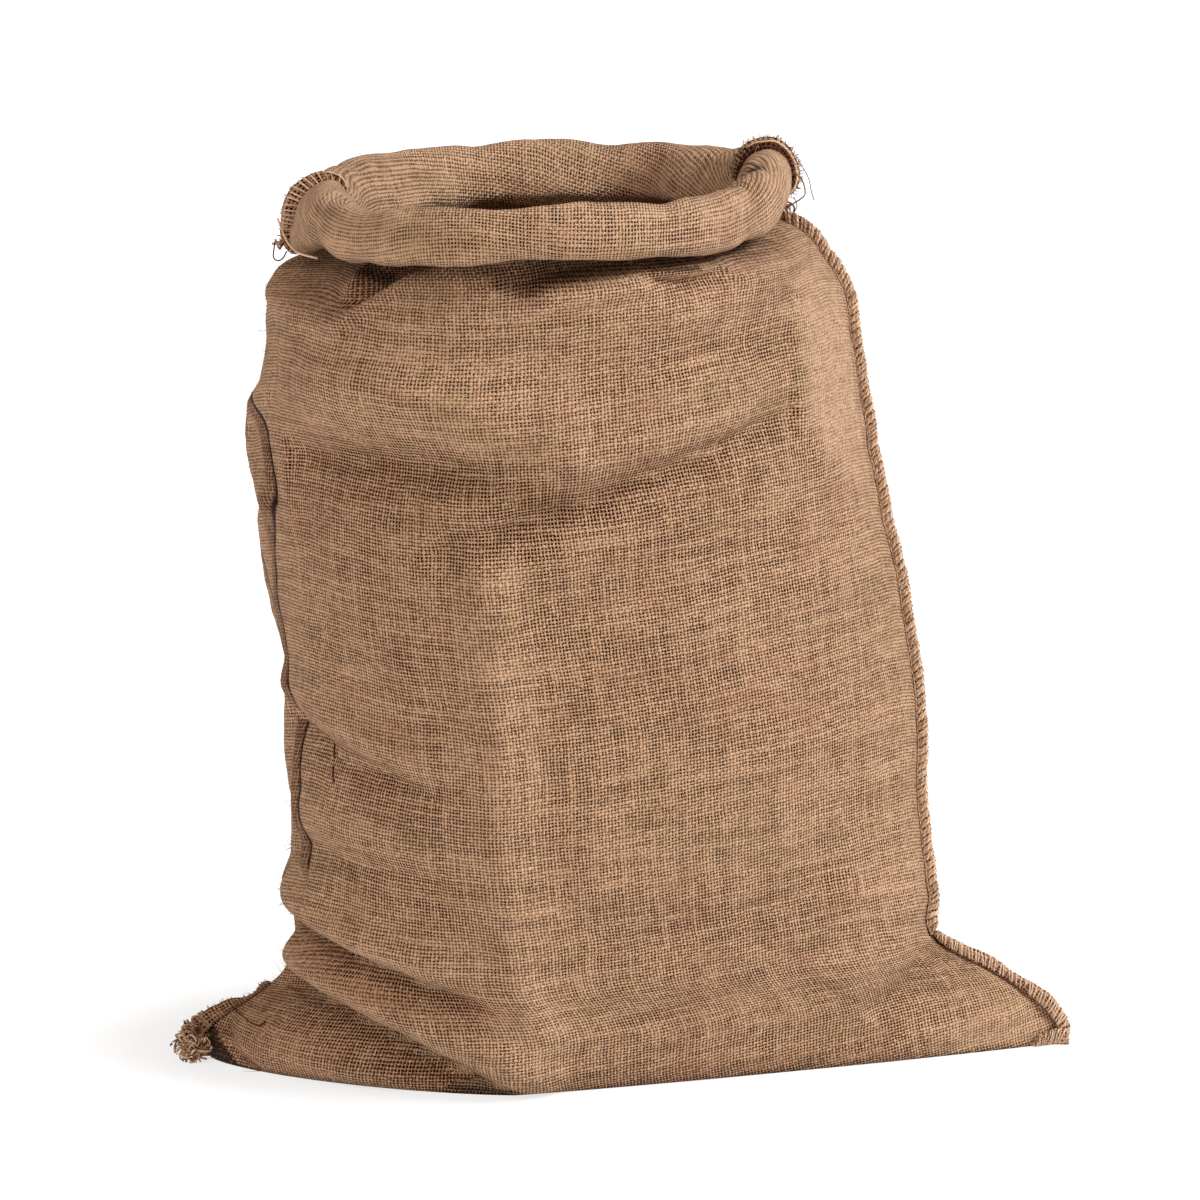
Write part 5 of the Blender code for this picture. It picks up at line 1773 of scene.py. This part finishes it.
# %% [markdown]
# ## The seams in the cuff
#
# The roll turns both side seams inside out, so their allowances stand up from it like small
# fins.  The right one ends in a tuft of loose yarn, and the left one fans out over the hem,
# whose cut edge shows as a cord.  They could be one mesh with the roll, but fins of their
# own are sewn with the same lines as the rest.

# %% The cuff's fins, in millimetres
# Rows of the roll from the neck on, and how high the band stands there
CUFF_RIGHT_HEIGHTS = (
    (2, 6.0), (8, 10.0), (14, 10.5), (18, 9.5), (22, 9.5), (25, 8.5), (28, 4.0),
)
CUFF_LEFT_HEIGHTS = (
    (2, 3.0), (8, 6.0), (12, 8.0), (16, 10.5), (20, 12.5), (24, 12.5), (27, 9.0), (30, 5.0),
)
# Threads that hang there: their points, their radius and how soiled they are
CUFF_RIGHT_THREADS = (
    # the loose end of the twine, and two long hairs
    (((111.9, -14, 591.8), (117.2, -15, 586.6), (119.2, -15, 579.5), (117.9, -14, 575.6),
      (111.5, -12, 571.0), (106.3, -10, 567.1)), 0.5, 0.3),
    (((113.5, -6, 601.3), (121.4, -7, 587.7), (123.4, -8, 579.2), (125.5, -8, 572.6)), 0.3, 0.7),
    (((112.0, -8, 575.0), (114.2, -10, 569.9), (112.3, -11, 564.6), (112.8, -11, 560.6)),
     0.3, 0.7),
)
CUFF_LEFT_THREADS = (
    # the edge of the hem, and a loop below it
    (((-223.9, -10, 561.1), (-221.7, -14, 556.4), (-219.4, -20, 551.9), (-216.3, -28, 547.7),
      (-211.8, -38, 544.5), (-207.3, -48, 543.2), (-195.1, -58, 541.3)), 0.75, -0.15),
    (((-225.9, -8, 546), (-226.7, -10, 540.4), (-226.9, -11, 535.8), (-224.1, -11, 533.6),
      (-220.9, -10, 535.1), (-218.4, -8, 539.5)), 0.5, 0.75),
)
print(len(CUFF_RIGHT_THREADS) + len(CUFF_LEFT_THREADS), "threads hang from the cuff")


# %% The cuff's seams
def cuff_band(column, way_out, heights, seed):
    """The allowance where the roll turns it up, on the inner face of the cloth."""
    rows = np.arange(heights[0][0], heights[-1][0] + 1)
    line = inner[WALL_ROWS + rows, column]
    high = table_at(heights, rows)[:, 0]
    return Band(line, -upright_rise(line, way_out), high, seed, rounding=2.0)


def cuff_seam_right():
    """The fin at the right end of the cuff, with its tuft."""
    piece = Piece()
    band = cuff_band(RIGHT, 1, CUFF_RIGHT_HEIGHTS, 3.0)
    band.layers(piece, soil=0.12, foot=0.7)
    band.cord(piece, 2.4, 0.74, 0.75, span=(0.30, 0.95), soil=-0.1)
    band.cut_ends(piece, 1.7, 0.5, 2.4, radius=0.55, low=0.62, soil=(-0.1, 0.5))
    for points, radius, soil in CUFF_RIGHT_THREADS:
        thread(piece, points, radius, soil)
    frayed_heap(piece, (106.5, -8.0, 569.0), (3.0, 3.0, 4.0), 10, 31)
    hairs(piece, 60, 23, 0.5, 0.05, (WALL_ROWS, WALL_ROWS + 30), 6.0)
    return sewn(piece, "cuff_seam_right")


def cuff_seam_left():
    """The fin at the left end of the cuff, with the edge of the hem."""
    piece = Piece()
    band = cuff_band(LEFT, -1, CUFF_LEFT_HEIGHTS, 4.0)
    band.layers(piece, soil=-0.02, foot=0.25)
    band.overcast(piece, **SPARSE, soil=-0.15)
    band.cord(piece, 2.2, 0.92, 0.6, span=(0.05, 0.30), soil=-0.15)
    band.cut_ends(piece, 3.4, 0.2, 1.0, radius=0.35, soil=(0.1, 0.6))
    for points, radius, soil in CUFF_LEFT_THREADS:
        thread(piece, points, radius, soil)
    frayed_heap(piece, (-222.0, -4.0, 545.0), (4.0, 3.0, 4.0), 16, 32, 3.2)
    hairs(piece, 60, 24, 0.0, 0.05, (WALL_ROWS, WALL_ROWS + 36), 6.0)
    return sewn(piece, "cuff_seam_left")


cuff_right_piece = cuff_seam_right()
cuff_left_piece = cuff_seam_left()

# %% [markdown]
# ## The ends of the bottom seam
#
# The bottom seam lies under the sack, and only its ends come out.  The right end stands on
# the ground in front of the ear.  The left end was never whipped to its tip, so it has
# ravelled into a heap: loops of many sizes, thrown round one middle by a seeded generator,
# since no table could lay a hundred of them as freely.

# %% The foot seam and the left ear
FOOT_TIP = 303.0  # how far right the end of the bottom seam reaches
FOOT_HEIGHTS = (6.0, 11.0)  # how high it stands at its beginning and its end
FOOT_WAYS = (0.4845, 0.4990)  # the ways round between which it runs
FOOT_ROW_HEIGHT = 4.0  # the row of the wall that it keeps beside
FOOT_LINE_UP = 0.9  # how high its own foot is over the ground
EAR_LEFT_HEIGHTS = (
    (0, 13.0), (8, 15.0), (14, 14.0), (20, 12.5), (25, 10.5), (30, 8.5), (34, 7.0), (38, 3.0),
    (42, 1.0), (46, 4.0), (52, 3.0),
)
EAR_LEFT_SPAN = (0, 52)
TORN_ROWS = 12  # rows of the left ear whose twine is still there
HEAP_LEFT = ((-287.0, -47.0, 13.0), (11.0, 11.0, 13.0), 150)  # its middle, reach and loops
# The thread at the tongue of the ear, and two short ones in a slit above it
EAR_LEFT_THREADS = (
    (((-263, -37, 39), (-259.5, -38, 34), (-254.5, -45, 32), (-246.5, -59, 30.5),
      (-239.5, -67, 31), (-235.5, -66, 33.5)), 0.5, 0.7, 24),
    (((-186.3, -83.5, 229), (-186.8, -88.5, 223), (-186.3, -92, 219)), 0.55, 0.75, 8),
    (((-187.0, -95.0, 215), (-187.2, -98, 210), (-186.3, -100.5, 205)), 0.55, 0.75, 8),
)


def foot_seam_right():
    """The end of the bottom seam, standing on the ground in front of the right ear."""
    piece = Piece()
    low, high = FOOT_WAYS
    columns = np.nonzero((ways > low) & (ways < high))[0]
    row = int(np.argmin(abs(wall - FOOT_ROW_HEIGHT)))
    line = outer[row, columns].copy()
    away = outward(outer[row, :, :2])[columns]
    line[:, :2] += away * (BAND_THICK / 2 + 0.9)
    line = np.concatenate([line, [(FOOT_TIP, line[-1, 1] - 1.0, 0.0)]])
    line[:, 2] = FOOT_LINE_UP
    rise = np.tile((0.0, 0.0, 1.0), (len(line), 1))
    band = Band(line, rise, np.linspace(*FOOT_HEIGHTS, len(line)), 5.0, rounding=2.0)
    band.layers(piece)
    band.overcast(piece, **FINE)
    band.cut_ends(piece, 3.4, 0.2, 1.2, radius=0.3)
    return sewn(piece, "foot_seam_right")


def ear_seam_left():
    """The ravelled end of the seam at the left ear, and the hairs of the left side."""
    piece = Piece()
    line = outer[rows_between(*EAR_LEFT_SPAN), LEFT]
    high = table_at(EAR_LEFT_HEIGHTS, line[:, 2])[:, 0]
    band = Band(line, upright_rise(line, -1), high, 6.0)
    band.layers(piece, soil=0.1)
    stump = line[:TORN_ROWS]
    torn = Band(stump, upright_rise(stump, -1), high[:TORN_ROWS], 7.0)
    torn.overcast(piece, **RAVELLED, soil=0.1)
    band.cut_ends(piece, 2.6, 0.3, 2.0, radius=0.35, soil=(0.0, 0.5))
    frayed_heap(piece, *HEAP_LEFT, 33)
    for thread_values in EAR_LEFT_THREADS:
        thread(piece, *thread_values)
    hairs(piece, 520, 25, 0.0, 0.05, (0, 60), 8.0)
    hairs(piece, 420, 26, 0.0, 0.05, (60, WALL_ROWS), 7.5)
    hairs(piece, 160, 27, 0.2, 0.2, (0, WALL_ROWS), 5.0)
    return sewn(piece, "ear_seam_left")


foot_right_piece = foot_seam_right()
ear_left_piece = ear_seam_left()

# %% [markdown]
# ## Floor
#
# The sack stands on white paper that runs to the horizon.  Paper that only reflected would
# turn grey in the sack's shadow, so most of its light is a glow of its own.  Under the sack
# it glows less, a painted shadow that holds the sack to the ground.

# %% Floor
FLOOR_REACH = 30.0  # metres from the sack to the edge of the paper
FLOOR_COLOUR = (0.3, 0.3, 0.3, 1.0)
FLOOR_GLOW = (0.72, 0.72, 0.72, 1.0)  # how much it glows under the sack, less than away from it, as a painted shadow
FLOOR_GLOW_FAR = (0.89, 0.89, 0.89, 1.0)  # and away from it
FOOTPRINT = (0.30, 0.16, 1.0)  # half the sack's length and depth, in metres
GLOW_EDGE = (1.0, 1.3)  # in footprints, where one glow turns into the other
FLOOR_SURFACE = {"Base Color": FLOOR_COLOUR, "Emission Strength": 1.0, "Roughness": 0.9}


def white_paper():
    """The finish of the paper, whose glow is worked out from the place on the floor, and is
    dimmer under the sack as a painted shadow.
    """
    made, sockets, root = new_finish("paper")
    # the fourth output of Texture Coordinate is the place in the object's own metres
    place = root.node("ShaderNodeTexCoord", output=3)
    spot = root.node("ShaderNodeVectorMath", {"operation": "DIVIDE"}, {0: place, 1: FOOTPRINT})
    reach = root.node("ShaderNodeVectorMath", {"operation": "LENGTH"}, {0: spot}, output=1)
    glow = reach.smooth(*GLOW_EDGE).blend(FLOOR_GLOW, FLOOR_GLOW_FAR)
    dress(sockets, {"Emission Color": glow}, FLOOR_SURFACE)
    return made


floor_mesh = bpy.data.meshes.new("floor")
floor_points = [(FLOOR_REACH * x, FLOOR_REACH * y, 0)
                for x, y in ((-1, -1), (1, -1), (1, 1), (-1, 1))]
floor_mesh.from_pydata(floor_points, [], [(0, 1, 2, 3)])
floor_mesh.materials.append(white_paper())
floor = bpy.data.objects.new("floor", floor_mesh)
bpy.context.scene.collection.objects.link(floor)
print("floor reaches", FLOOR_REACH, "m")

# %% [markdown]
# ## Putting the pieces on the frame
#
# The sack has one body, so every piece rides on it.  Each stands for one imported solid, which
# it hides.  The sack is two panels of 0.6 by 0.95 m, sewn side by side, that stand by
# themselves round their load.

# %% Riding and replacing
PARTS = (
    (sack_piece, "sack_cloth", "jute_cloth"),
    (side_right_piece, "side_seam_right", "jute_twine"),
    (ear_right_piece, "ear_seam_right", "jute_twine"),
    (foot_right_piece, "foot_seam_right", "jute_twine"),
    (ear_left_piece, "ear_seam_left", "jute_twine"),
    (cuff_right_piece, "cuff_seam_right", "jute_twine"),
    (cuff_left_piece, "cuff_seam_left", "jute_twine"),
)
for piece, node, slot in PARTS:
    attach(piece, "root")
    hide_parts(node)
print(len(PARTS), "pieces")
